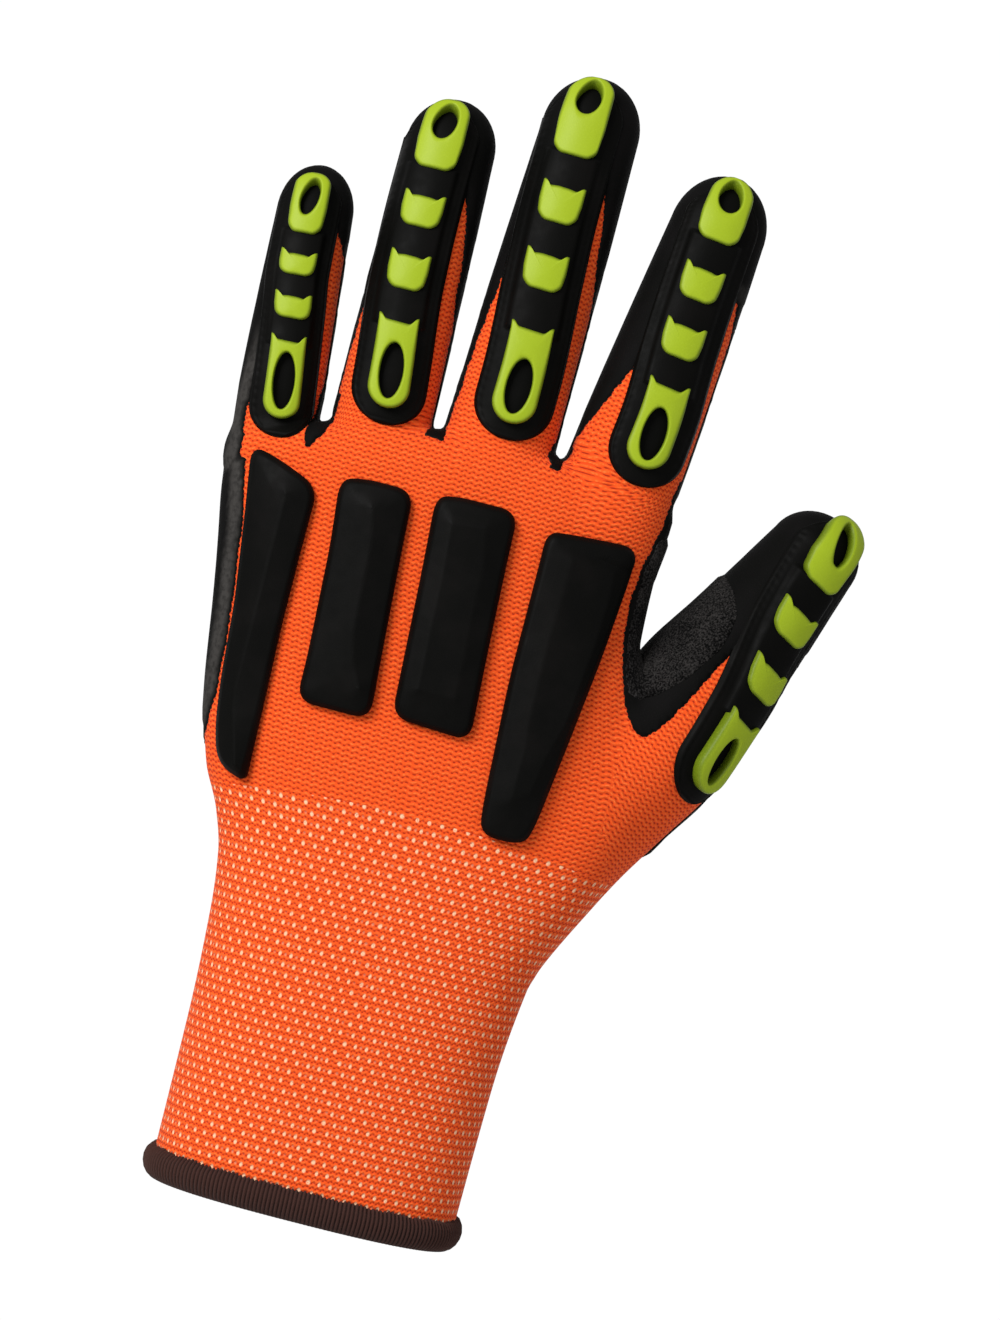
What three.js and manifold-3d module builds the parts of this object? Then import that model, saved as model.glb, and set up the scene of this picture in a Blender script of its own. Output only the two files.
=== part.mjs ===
// Impact-resistant knitted work glove for the left hand, in the shape it has when worn.
// Millimetres. +Z runs from the cuff to the fingertips, +X to the thumb, and -Y is the back of the hand.
// The origin is the centre of the cuff's mouth.
import * as THREE from "three";
import { mergeVertices } from "three/addons/utils/BufferGeometryUtils.js";
import Module from "manifold-3d";

const wasm = await Module();
wasm.setup();

// Walls and clearances
const KNIT_WALL = 1.4;
const COAT_WALL = 0.9;
const PATCH_WALL = 0.9;
const SEAM_GAP = 0.3;

// Cuff and hand
const CUFF_LENGTH = 89;
const CUFF_WIDTH = 66.4;
const CUFF_DEPTH = 43;
const PALM_LENGTH = 81.5;
const PALM_DEPTH = 30;
const HAND_SHIFT = -7.8;
const WEB_GAP = 4.3;
const KNUCKLE_ARCH = 7.5;
const BODY_SQUARENESS = 2.5;

// Fingers: width at the root and before the tip, length of the rounded tip, reach beyond the top of the
// hand, lean in degrees to the thumb, rise of the centre line towards the palm, and the tip's bend to it.
const FINGERS = [
  { name: "little", width: 16.6, tipWidth: 14.4, tip: 9.5, reach: 49.0, lean: -4.2, rise: 1.6, bend: 6 },
  { name: "ring", width: 20.0, tipWidth: 17.4, tip: 9.8, reach: 69.8, lean: -0.5, rise: -0.6, bend: 7 },
  { name: "middle", width: 22.6, tipWidth: 19.2, tip: 11, reach: 82.1, lean: 1.9, rise: -1.0, bend: 8 },
  { name: "index", width: 23.8, tipWidth: 18.8, tip: 11.5, reach: 68.6, lean: 6.9, rise: -0.4, bend: 6 },
];
const FINGER_FLATNESS = 0.88;
const FINGER_SINK = 16;
const FINGER_START = 0.95;
const FINGER_TAPER = 1.3;
const DIGIT_SQUARENESS = 2.2;
const FINGER_JOINT = 4;

// Thumb: its back is turned away from the back of the hand by the roll, less at the tip.
const THUMB_OUT = 27.6;
const THUMB_BELOW_CUFF_TOP = 21;
const THUMB_LENGTH = 116;
const THUMB_WIDTH = 30;
const THUMB_DEPTH = 28;
const THUMB_LEAN = 25.6;
const THUMB_TILT = 5;
const THUMB_RISE = 1;
const THUMB_BEND = 2;
const THUMB_TIP = 8.6;
const THUMB_ROLL = 60;
const THUMB_TIP_ROLL = 28;
const THUMB_JOINT = 72;

// Guards on the fingers and the thumb: a flange, raised bridges and four inset pads each.
const GUARD_WIDTHS = { little: 13.0, ring: 15.2, middle: 16.2, index: 16.0, thumb: 15.6 };
const GUARD_STARTS = { little: -9.8, ring: -1.5, middle: 1.8, index: -0.5, thumb: 47.3 };
const GUARD_TIP_MARGIN = 1.6;

// How far a guard's middle line lies from its digit's, towards the thumb: at its start and at the tip.
const GUARD_SHIFTS = {
  little: { start: 0.9, tip: -1.2 },
  ring: { start: 0, tip: -1.7 },
  middle: { start: 1.1, tip: -1.7 },
  index: { start: 3, tip: 0.2 },
  thumb: { start: 1.2, tip: -2.2 },
};
const FLANGE_WALL = 1.2;
const BRIDGE_HEIGHT = 2.7;
const PAD_HEIGHT = 3.5;
const PAD_WIDTH_SHARE = 0.62;
const PAD_BEVEL = 0.7;
const PAD_HORN = 1.4;
const TIP_PAD_TAPER = 0.25;
const POCKET_SLOPE = 0.6;
const WINDOW_WIDTH = 4.8;
const WINDOW_LENGTH_SHARE = 0.55;

// Bars on the back of the hand
const BAR_HEIGHT = 4.6;
const BAR_EDGE = 2.2;
const BAR_BEVEL = 2.2;

// Overlocked hem: it folds round the edge of the mouth.
const HEM_HEIGHT = 6.6;
const HEM_WALL = 1.6;
const HEM_FOLD = 1.2;

// Dipped coating: it starts just above the cuff and covers the palm side, the sides and the tips.
const COAT_ABOVE_CUFF = 3;

const PALM_WIDTH = FINGERS.reduce((sum, finger) => sum + finger.width, 0) + (FINGERS.length - 1) * WEB_GAP;
const HALF_PALM = PALM_WIDTH / 2;
const HAND_TOP = CUFF_LENGTH + PALM_LENGTH;
const COAT_TOP = SEAM_GAP + COAT_WALL;
const FAR = HAND_TOP + THUMB_LENGTH;
const BACK = new THREE.Vector3(0, -1, 0);

const COLOURS = {
  knit: { color: 0xf2602a, roughness: 0.95 },
  coat: { color: 0x1b1a19, roughness: 0.7 },
  patch: { color: 0x3a3a3b, roughness: 0.95 },
  rubber: { color: 0x191816, roughness: 0.6 },
  lime: { color: 0xb5d433, roughness: 0.45 },
  yarn: { color: 0x3a2522, roughness: 1 },
};

// Sections of the cuff: "up" is a share of its length, left and right are shares of its half width, back
// and palm are shares of its half depth.
const CUFF_ROWS = [
  { up: 0.0, left: -1.0, right: 1.0, back: 1.0, palm: 1.0 },
  { up: 0.4, left: -1.01, right: 1.02, back: 0.97, palm: 0.98 },
  { up: 0.66, left: -1.04, right: 1.085, back: 0.89, palm: 0.93 },
  { up: 0.8, left: -1.085, right: 1.2, back: 0.82, palm: 0.9 },
  { up: 0.9, left: -1.17, right: 1.3, back: 0.77, palm: 0.88 },
];

// Sections of the hand, above the cuff: the same, as shares of the palm's sizes from its middle.
const PALM_ROWS = [
  { up: 0.0, left: -0.736, right: 1.13, back: 1.04, palm: 1.23 },
  { up: 0.2, left: -0.813, right: 1.155, back: 1.0, palm: 1.19 },
  { up: 0.42, left: -0.87, right: 1.09, back: 0.97, palm: 1.12 },
  { up: 0.6, left: -0.918, right: 0.982, back: 0.94, palm: 1.02 },
  { up: 0.78, left: -0.955, right: 0.974, back: 0.91, palm: 0.92 },
  { up: 0.9, left: -0.972, right: 0.988, back: 0.85, palm: 0.82 },
  { up: 0.97, left: -0.982, right: 0.992, back: 0.74, palm: 0.7 },
  { up: 1.0, left: -0.982, right: 0.982, back: 0.58, palm: 0.52 },
];

// Sections of the thumb: shares of its length, width and depth.
const THUMB_ROWS = [
  { along: 0.0, width: 0.66, depth: 0.56 },
  { along: 0.22, width: 0.82, depth: 0.75 },
  { along: 0.36, width: 0.88, depth: 0.86 },
  { along: 0.5, width: 0.98, depth: 1.0 },
  { along: 0.64, width: 0.95, depth: 0.98 },
  { along: 0.78, width: 0.81, depth: 0.83 },
  { along: 1.0, width: 0.62, depth: 0.62 },
];

// Pads of a guard, from the hand to the tip: shares of the guard's length.
const PADS = [
  { name: "base", from: 0.05, to: 0.29, width: 0.92, window: 0.45 },
  { name: "lower", from: 0.408, to: 0.485, width: 0.96, window: 0 },
  { name: "upper", from: 0.592, to: 0.667, width: 0.96, window: 0 },
  { name: "tip", from: 0.765, to: 0.965, width: 1.0, window: 0.62 },
];

// Rows where a guard bends over the tip, which its tip pad shares.
const TIP_ROWS = [0.85, 0.9, 0.945, 0.975, 1];

// Outline of a guard: shares of its length and of its half width.
const GUARD_OUTLINE = [
  { along: 0.0, width: 0.5 },
  { along: 0.025, width: 0.8 },
  { along: 0.07, width: 0.97 },
  { along: 0.28, width: 1.0 },
  { along: 0.68, width: 1.0 },
  { along: 0.85, width: 1.0 },
  { along: 0.94, width: 0.84 },
  { along: 1.0, width: 0.58 },
];

// Bars, from end to end: "up" is a share of the palm's length above the cuff, the rest are shares of its
// half width from its middle.
const BARS = {
  little: [
    { up: 0.0, left: -0.65, right: -0.55, ridge: -0.6 },
    { up: 0.05, left: -0.72, right: -0.545, ridge: -0.63 },
    { up: 0.2, left: -0.764, right: -0.538, ridge: -0.685 },
    { up: 0.38, left: -0.785, right: -0.534, ridge: -0.681 },
    { up: 0.63, left: -0.838, right: -0.551, ridge: -0.681 },
    { up: 0.785, left: -0.88, right: -0.57, ridge: -0.69 },
    { up: 0.832, left: -0.855, right: -0.66, ridge: -0.75 },
  ],
  ring: [
    { up: 0.217, left: -0.366, right: -0.136, ridge: -0.2 },
    { up: 0.26, left: -0.415, right: -0.088, ridge: -0.19 },
    { up: 0.42, left: -0.438, right: -0.096, ridge: -0.23 },
    { up: 0.775, left: -0.469, right: -0.138, ridge: -0.272 },
    { up: 0.822, left: -0.419, right: -0.199, ridge: -0.28 },
  ],
  middle: [
    { up: 0.229, left: 0.094, right: 0.325, ridge: 0.251 },
    { up: 0.28, left: 0.021, right: 0.383, ridge: 0.251 },
    { up: 0.5, left: 0.0, right: 0.368, ridge: 0.251 },
    { up: 0.785, left: -0.027, right: 0.338, ridge: 0.24 },
    { up: 0.84, left: 0.01, right: 0.262, ridge: 0.19 },
  ],
  index: [
    { up: 0.0, left: 0.576, right: 0.702, ridge: 0.64 },
    { up: 0.045, left: 0.53, right: 0.764, ridge: 0.64 },
    { up: 0.2, left: 0.507, right: 0.81, ridge: 0.649 },
    { up: 0.44, left: 0.496, right: 0.859, ridge: 0.628 },
    { up: 0.76, left: 0.49, right: 0.9, ridge: 0.639 },
    { up: 0.822, left: 0.534, right: 0.88, ridge: 0.66 },
  ],
};

// Bare knit on the back of the hand, which the dip leaves free, in the same shares.
const BACK_WINDOW = [
  { up: -0.5, left: -1.2, right: 1.3 },
  { up: 0.035, left: -0.775, right: 1.22 },
  { up: 0.2, left: -0.802, right: 1.18 },
  { up: 0.353, left: -0.823, right: 1.11 },
  { up: 0.43, left: -0.833, right: 1.016 },
  { up: 0.6, left: -0.869, right: 0.938 },
  { up: 0.69, left: -0.886, right: 0.928 },
  { up: 0.81, left: -0.917, right: 0.953 },
  { up: 0.9, left: -0.942, right: 0.984 },
];

// Bare knit on the backs of the digits: the edges are shares of the half width, and "along" is a share of
// the length above the top of the hand, or of the thumb's length.
const FINGER_WINDOWS = {
  little: [
    { along: 0.0, left: -0.72, right: 0.93 },
    { along: 0.3, left: -0.72, right: 0.9 },
    { along: 0.7, left: -0.6, right: 0.7 },
  ],
  ring: [
    { along: 0.0, left: -0.96, right: 0.94 },
    { along: 0.36, left: -0.94, right: 0.86 },
    { along: 0.73, left: -0.6, right: 0.6 },
  ],
  middle: [
    { along: 0.0, left: -0.94, right: 0.95 },
    { along: 0.47, left: -0.8, right: 0.88 },
    { along: 0.73, left: -0.6, right: 0.7 },
  ],
  index: [
    { along: 0.0, left: -0.95, right: 0.98 },
    { along: 0.35, left: -0.78, right: 0.95 },
    { along: 0.63, left: -0.5, right: 0.82 },
  ],
};
const THUMB_WINDOW = [
  { along: 0.05, left: -0.86, right: 1.3 },
  { along: 0.46, left: -0.86, right: 1.3 },
  { along: 0.56, left: -0.65, right: 1.3 },
  { along: 0.67, left: -0.52, right: 1.3 },
  { along: 0.8, left: -0.3, right: 0.6 },
];

// Outline of the crotch patch, seen from the back: "up" is a share of the palm's length above the cuff,
// "out" is a share of its half width from its middle.
const PATCH_OUTLINE = [
  { up: 0.865, out: 0.967 },
  { up: 0.883, out: 1.09 },
  { up: 0.822, out: 1.345 },
  { up: 0.773, out: 1.4 },
  { up: 0.71, out: 1.425 },
  { up: 0.62, out: 1.382 },
  { up: 0.52, out: 1.267 },
  { up: 0.433, out: 1.078 },
  { up: 0.448, out: 1.016 },
  { up: 0.497, out: 0.967 },
];

const mix = THREE.MathUtils.lerp;
const ease = THREE.MathUtils.smoothstep;
const clamp = THREE.MathUtils.clamp;
const acrossHand = (share) => HAND_SHIFT + share * HALF_PALM;
const upHand = (share) => CUFF_LENGTH + share * PALM_LENGTH;

// The row of a table at a value of its first column, each other column interpolated.
function rowAt(rows, key, value) {
  let i = 0;
  while (i < rows.length - 2 && value > rows[i + 1][key]) i++;
  const [low, high] = [rows[i], rows[i + 1]];
  const t = clamp((value - low[key]) / (high[key] - low[key]), 0, 1);
  return Object.fromEntries(Object.keys(low).map((name) => [name, mix(low[name], high[name], t)]));
}

// Closed solids

function geometryOf(points, faces) {
  const geometry = new THREE.BufferGeometry();
  geometry.setAttribute("position", new THREE.Float32BufferAttribute(points.flatMap((p) => p.toArray()), 3));
  geometry.setIndex(faces.flat());
  return geometry;
}

function solidFrom(geometry) {
  const bare = geometry.clone();
  bare.deleteAttribute("normal");
  bare.deleteAttribute("uv");
  const merged = mergeVertices(bare, 1e-4);
  return new wasm.Manifold(
    new wasm.Mesh({
      numProp: 3,
      vertProperties: merged.attributes.position.array,
      triVerts: new Uint32Array(merged.index.array),
    }),
  );
}

function geometryFrom(solid) {
  const { vertProperties, triVerts } = solid.getMesh();
  const geometry = new THREE.BufferGeometry();
  geometry.setAttribute("position", new THREE.BufferAttribute(vertProperties, 3));
  geometry.setIndex(new THREE.BufferAttribute(triVerts, 1));
  return geometry;
}

const join = (geometries) => geometries.map(solidFrom).reduce((sum, next) => sum.add(next));

// The largest of the bodies that a cut leaves.
const largest = (solid) => solid.decompose().reduce((a, b) => (b.volume() > a.volume() ? b : a));

// A solid through rings of points, closed by a fan at each end.
function loft(rings) {
  const around = rings[0].length;
  const points = rings.flat();
  const faces = [];
  for (let i = 0; i < rings.length - 1; i++)
    for (let j = 0; j < around; j++) {
      const [a, b] = [i * around + j, i * around + ((j + 1) % around)];
      faces.push([a, b, b + around], [a, b + around, a + around]);
    }
  for (const [ring, last] of [[0, false], [rings.length - 1, true]]) {
    const centre = new THREE.Vector3();
    rings[ring].forEach((p) => centre.addScaledVector(p, 1 / around));
    const hub = points.push(centre) - 1;
    for (let j = 0; j < around; j++) {
      const [a, b] = [ring * around + j, ring * around + ((j + 1) % around)];
      faces.push(last ? [a, b, hub] : [b, a, hub]);
    }
  }
  return geometryOf(points, faces);
}

// A solid between two grids of points: rows run up the hand, columns to the thumb, "high" faces out.
function slab(low, high) {
  const [rows, columns] = [low.length, low[0].length];
  const points = [...low.flat(), ...high.flat()];
  const at = (level, i, j) => level * rows * columns + i * columns + j;
  const faces = [];
  const quad = (a, b, c, d) => faces.push([a, b, c], [a, c, d]);
  for (let i = 0; i < rows - 1; i++)
    for (let j = 0; j < columns - 1; j++) {
      quad(at(1, i, j), at(1, i, j + 1), at(1, i + 1, j + 1), at(1, i + 1, j));
      quad(at(0, i, j), at(0, i + 1, j), at(0, i + 1, j + 1), at(0, i, j + 1));
    }
  for (let i = 0; i < rows - 1; i++) {
    quad(at(0, i, 0), at(1, i, 0), at(1, i + 1, 0), at(0, i + 1, 0));
    quad(at(0, i, columns - 1), at(0, i + 1, columns - 1), at(1, i + 1, columns - 1), at(1, i, columns - 1));
  }
  const top = rows - 1;
  for (let j = 0; j < columns - 1; j++) {
    quad(at(0, 0, j), at(0, 0, j + 1), at(1, 0, j + 1), at(1, 0, j));
    quad(at(0, top, j), at(1, top, j), at(1, top, j + 1), at(0, top, j + 1));
  }
  return geometryOf(points, faces);
}

// A block under an outline in X and Z, from one Y to another.
function prism(outline, from, to) {
  const shape = new THREE.Shape(outline.map(([x, z]) => new THREE.Vector2(x, z)));
  const block = new THREE.ExtrudeGeometry(shape, { depth: to - from, bevelEnabled: false });
  return block.rotateX(Math.PI / 2).translate(0, to, 0);
}

const outlineOf = (rows) => [
  ...rows.map((row) => [acrossHand(row.right), upHand(row.up)]),
  ...rows.map((row) => [acrossHand(row.left), upHand(row.up)]).reverse(),
];

const superellipse = (share, squareness) => (1 - Math.abs(share) ** squareness) ** (1 / squareness);

// Points round a section: its half sizes across, out of the back and out of the palm, and a squareness.
function section(sides, half, back, palm, squareness, place) {
  return Array.from({ length: sides }, (_, j) => {
    const turn = (2 * Math.PI * j) / sides;
    const across = Math.sin(turn);
    const out = Math.cos(turn);
    const round = (value) => Math.sign(value) * Math.abs(value) ** (2 / squareness);
    return place(half * round(across), (out > 0 ? back : palm) * round(out));
  });
}

// Hand and cuff

const BODY_ROWS = [
  ...CUFF_ROWS.map((row) => ({
    z: row.up * CUFF_LENGTH,
    left: (row.left * CUFF_WIDTH) / 2,
    right: (row.right * CUFF_WIDTH) / 2,
    back: (row.back * CUFF_DEPTH) / 2,
    palm: (row.palm * CUFF_DEPTH) / 2,
  })),
  ...PALM_ROWS.map((row) => ({
    z: upHand(row.up),
    left: acrossHand(row.left),
    right: acrossHand(row.right),
    back: (row.back * PALM_DEPTH) / 2,
    palm: (row.palm * PALM_DEPTH) / 2,
  })),
];
const BODY_SIDES = 16;

// How far the knuckle line drops away from the middle finger, all of it at the top of the hand.
function archDrop(x, z) {
  const middle = acrossHand(0.24);
  return KNUCKLE_ARCH * ((x - middle) / HALF_PALM) ** 2 * ease(z, upHand(0.5), HAND_TOP);
}

function bodyRing(z, grow) {
  const { left, right, back, palm } = rowAt(BODY_ROWS, "z", z);
  const place = (x, out) => {
    const at = (left + right) / 2 + x;
    return new THREE.Vector3(at, -out, z - archDrop(at, z));
  };
  const half = (right - left) / 2 + grow;
  return section(BODY_SIDES, half, back + grow, palm + grow, BODY_SQUARENESS, place);
}

// The hand and cuff from a height up, with every surface moved out by "grow".
function body(grow, from) {
  const levels = BODY_ROWS.map((row) => row.z).filter((z) => z > from + KNIT_WALL);
  const rings = [from, ...levels].map((z) => bodyRing(z, grow));
  rings.at(-1).forEach((point) => (point.z += grow));
  return loft(rings);
}

// The level of the section that passes through a place, before the knuckle line drops.
function levelAt(x, z) {
  let level = z;
  for (let i = 0; i < 4; i++) level = z + archDrop(x, level);
  return level;
}

// How far the back of the hand and cuff stands out at a place, without the fingers.
function backOut(x, z) {
  const { left, right, back } = rowAt(BODY_ROWS, "z", levelAt(x, z));
  const share = clamp((2 * x - left - right) / (right - left), -0.98, 0.98);
  return back * superellipse(share, BODY_SQUARENESS);
}

// Fingers and thumb

const DIGIT_SIDES = 10;
const CAP_ANGLES = [36, 70];

function makeDigit(values) {
  const { lean, tilt, length } = values;
  const [a, b] = [THREE.MathUtils.degToRad(lean), THREE.MathUtils.degToRad(tilt)];
  const along = new THREE.Vector3(Math.sin(a) * Math.cos(b), Math.sin(b), Math.cos(a) * Math.cos(b));
  const back = BACK.clone().addScaledVector(along, -BACK.dot(along)).normalize();
  const side = along.clone().cross(back);
  return { ...values, along, back, side, capLength: values.tip, shaft: length - values.tip };
}

const taperAt = ({ width, tipWidth }, share) => mix(width, tipWidth, Math.max(share, 0) ** FINGER_TAPER);

let rootX = acrossHand(-1);
const DIGITS = FINGERS.map((finger) => {
  const start = new THREE.Vector3(rootX + finger.width / 2, finger.rise, HAND_TOP);
  rootX += finger.width + WEB_GAP;
  return makeDigit({
    ...finger,
    start,
    tilt: 0,
    length: finger.reach,
    from: -FINGER_SINK,
    joint: FINGER_JOINT,
    roll: 0,
    tipRoll: 0,
    levels: [0, 0.5, 1],
    widthAt: (share) => taperAt(finger, share),
    depthAt: (share) => taperAt(finger, share) * FINGER_FLATNESS,
    window: FINGER_WINDOWS[finger.name],
    windowFrom: -FINGER_SINK / finger.reach,
  });
});
DIGITS.push(
  makeDigit({
    name: "thumb",
    start: new THREE.Vector3(THUMB_OUT, THUMB_RISE, CUFF_LENGTH - THUMB_BELOW_CUFF_TOP),
    lean: THUMB_LEAN,
    tilt: THUMB_TILT,
    length: THUMB_LENGTH,
    from: 0,
    joint: THUMB_JOINT,
    roll: THUMB_ROLL,
    tipRoll: THUMB_TIP_ROLL,
    bend: THUMB_BEND,
    tip: THUMB_TIP,
    levels: THUMB_ROWS.map((row) => row.along).slice(1),
    widthAt: (share) => THUMB_WIDTH * rowAt(THUMB_ROWS, "along", share).width,
    depthAt: (share) => THUMB_DEPTH * rowAt(THUMB_ROWS, "along", share).depth,
    window: THUMB_WINDOW,
    windowFrom: THUMB_WINDOW[0].along,
  }),
);

// A digit's centre and directions at a distance along it.
function frameAt(digit, at) {
  const share = at / digit.length;
  const turn = THREE.MathUtils.degToRad(mix(digit.roll, digit.tipRoll, clamp(share, 0, 1)));
  const [c, s] = [Math.cos(turn), Math.sin(turn)];
  const out = digit.back.clone().multiplyScalar(c).addScaledVector(digit.side, s);
  const across = digit.side.clone().multiplyScalar(c).addScaledVector(digit.back, -s);
  const bend = digit.bend * Math.max(share, 0) ** 1.7;
  const centre = digit.start.clone().addScaledVector(digit.along, at).addScaledVector(out, -bend);
  return { centre, across, out };
}

// A digit's half width and half depth before its rounded tip.
function halves(digit, at) {
  const share = at / digit.shaft;
  return [digit.widthAt(share) / 2, digit.depthAt(share) / 2];
}

function digitRing(digit, at, scale, grow) {
  const { centre, across, out } = frameAt(digit, at);
  const [half, deep] = halves(digit, Math.min(at, digit.shaft)).map((size) => (size + grow) * scale);
  const place = (u, w) => centre.clone().addScaledVector(across, u).addScaledVector(out, w);
  return section(DIGIT_SIDES, half, deep, deep, DIGIT_SQUARENESS, place);
}

function tube(digit, grow) {
  const rings = [digitRing(digit, digit.from, FINGER_START, grow)];
  for (const share of digit.levels) rings.push(digitRing(digit, share * digit.shaft, 1, grow));
  for (const angle of CAP_ANGLES.map(THREE.MathUtils.degToRad)) {
    const at = digit.shaft + (digit.capLength + grow) * Math.sin(angle);
    rings.push(digitRing(digit, at, Math.cos(angle), grow));
  }
  return loft(rings);
}

// A point above the back of a digit: across is a signed distance from its middle line.
function digitPoint(digit, at, across, lift) {
  const frame = frameAt(digit, at);
  const [half, deep] = halves(digit, Math.min(at, digit.shaft));
  const tip = clamp((at - digit.shaft) / digit.capLength, 0, 0.99);
  const scale = Math.sqrt(1 - tip * tip);
  const share = clamp(across / (half * scale), -0.97, 0.97);
  const point = frame.centre.clone().addScaledVector(frame.across, across);
  const own = deep * scale * superellipse(share, DIGIT_SQUARENESS);
  const past = Math.max(levelAt(point.x, point.z) - HAND_TOP - SEAM_GAP, 0);
  const hand = digit.name === "thumb" ? 0 : point.y + backOut(point.x, point.z) - past;
  return point.addScaledVector(frame.out, Math.max(own, hand) + lift);
}

// How far the knitted back stands out at a place, a finger's root included.
function dorsalOut(x, z) {
  const roots = DIGITS.filter((digit) => digit.name !== "thumb").map((digit) => {
    const at = (z - digit.start.z) / digit.along.z;
    if (at < digit.from) return 0;
    const { centre, across } = frameAt(digit, at);
    const start = mix(1, FINGER_START, clamp(at / digit.from, 0, 1));
    const [half, deep] = halves(digit, at).map((size) => size * start);
    const share = clamp((x - centre.x) / across.x / half, -1, 1);
    return deep * superellipse(share, DIGIT_SQUARENESS) - centre.y;
  });
  return Math.max(backOut(x, z), ...roots);
}

const wholeHand = (grow, from) => join([body(grow, from), ...DIGITS.map((digit) => tube(digit, grow))]);

// A skin over the hand between two heights above the knit.
const skin = (low, high, from) => wholeHand(high, from).subtract(wholeHand(low, from - KNIT_WALL));

// Finger and thumb guards

const guardLength = (digit) => digit.length - GUARD_TIP_MARGIN - GUARD_STARTS[digit.name];
const guardAt = (digit, share) => GUARD_STARTS[digit.name] + share * guardLength(digit);
const guardShift = (digit, at) => {
  const { start, tip } = GUARD_SHIFTS[digit.name];
  return mix(start, tip, clamp((at - GUARD_STARTS[digit.name]) / guardLength(digit), 0, 1));
};
const guardHalf = (digit, share) => {
  return (GUARD_WIDTHS[digit.name] / 2) * rowAt(GUARD_OUTLINE, "along", share).width;
};

// A point above a digit's back, at a distance across from the guard's middle line.
function guardPoint(digit, at, across, lift) {
  return digitPoint(digit, at, across + guardShift(digit, at), lift);
}

// Rows of a guard: bridges stand between the pads, and the pads' pockets keep a wall's width from them.
function guardRows(digit) {
  const length = guardLength(digit);
  const below = SEAM_GAP / length;
  const above = (PAD_HORN + SEAM_GAP) / length;
  const slope = POCKET_SLOPE / length;
  const rows = [0, 0.025, 0.07, 0.18].map((at) => ({ at, height: FLANGE_WALL }));
  PADS.forEach((pad, i) => {
    if (i > 0) rows.push({ at: pad.from - below - slope, height: BRIDGE_HEIGHT });
    if (i > 0) rows.push({ at: pad.from - below, height: FLANGE_WALL });
    if (i < PADS.length - 1) rows.push({ at: pad.to + above, height: FLANGE_WALL });
    if (i < PADS.length - 1) rows.push({ at: pad.to + above + slope, height: BRIDGE_HEIGHT });
  });
  return [...rows, ...TIP_ROWS.map((at) => ({ at, height: FLANGE_WALL }))];
}

function guardBase(digit) {
  const grid = (heightOf) =>
    guardRows(digit).map((row) => {
      const half = guardHalf(digit, row.at);
      return [-1, -PAD_WIDTH_SHARE, 0, PAD_WIDTH_SHARE, 1].map((share) =>
        guardPoint(digit, guardAt(digit, row.at), share * half, heightOf(row, Math.abs(share))),
      );
    });
  const low = grid(() => SEAM_GAP);
  const high = grid((row, share) => SEAM_GAP + (share <= PAD_WIDTH_SHARE ? row.height : FLANGE_WALL));
  return slab(low, high);
}

// A pad seated on its guard's floor, with horns at its upper corners and a rounded lower edge.
function guardPad(digit, pad) {
  const floor = 2 * SEAM_GAP + FLANGE_WALL;
  const isTip = pad.name === "tip";
  const middle = isTip ? TIP_ROWS.filter((at) => at < pad.to) : [mix(pad.from, pad.to, 0.5)];
  const rows = [pad.from, ...middle, pad.to];
  const half = (GUARD_WIDTHS[digit.name] / 2) * PAD_WIDTH_SHARE * pad.width - SEAM_GAP;
  const grid = (heightOf) =>
    rows.map((row, i) =>
      [-1, -0.65, 0, 0.65, 1].map((across) => {
        const along = i / (rows.length - 1);
        const taper = isTip ? 1 - TIP_PAD_TAPER * along : 1;
        const corner = across * across * (i === 0 ? PAD_HORN / 2 : along * PAD_HORN);
        const rim = i === 0 || i === rows.length - 1 || Math.abs(across) === 1;
        const at = guardAt(digit, row) + corner;
        return guardPoint(digit, at, across * half * taper, heightOf(rim ? PAD_BEVEL : 0));
      }),
    );
  const low = grid(() => floor);
  const high = grid((inset) => PAD_HEIGHT - inset + SEAM_GAP);
  return slab(low, high);
}

// The oval window of a pad, as a block through it.
function padWindow(digit, pad) {
  const at = guardAt(digit, mix(pad.from, pad.to, pad.window));
  const length = (pad.to - pad.from) * guardLength(digit) * WINDOW_LENGTH_SHARE;
  const { across, out } = frameAt(digit, at);
  const centre = guardPoint(digit, at, 0, 0);
  const ring = (lift) =>
    section(7, WINDOW_WIDTH / 2, length / 2, length / 2, 2, (u, w) =>
      centre.clone().addScaledVector(across, u).addScaledVector(digit.along, w).addScaledVector(out, lift),
    );
  return loft([ring(PAD_HEIGHT * 2), ring(-PAD_HEIGHT)]);
}

// The block of space that a guard fills above the knit, with its seam.
function guardSpace(digit) {
  const grid = (reach) =>
    GUARD_OUTLINE.map(({ along }) => {
      const half = guardHalf(digit, along) + SEAM_GAP;
      const at = guardAt(digit, along);
      const { centre, across, out } = frameAt(digit, at);
      const lift = reach * (halves(digit, Math.min(at, digit.shaft))[1] + COAT_TOP + SEAM_GAP);
      const middle = centre.clone().addScaledVector(across, guardShift(digit, at));
      return [-half, half].map((u) => middle.clone().addScaledVector(across, u).addScaledVector(out, lift));
    });
  return slab(grid(0), grid(1));
}

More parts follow.
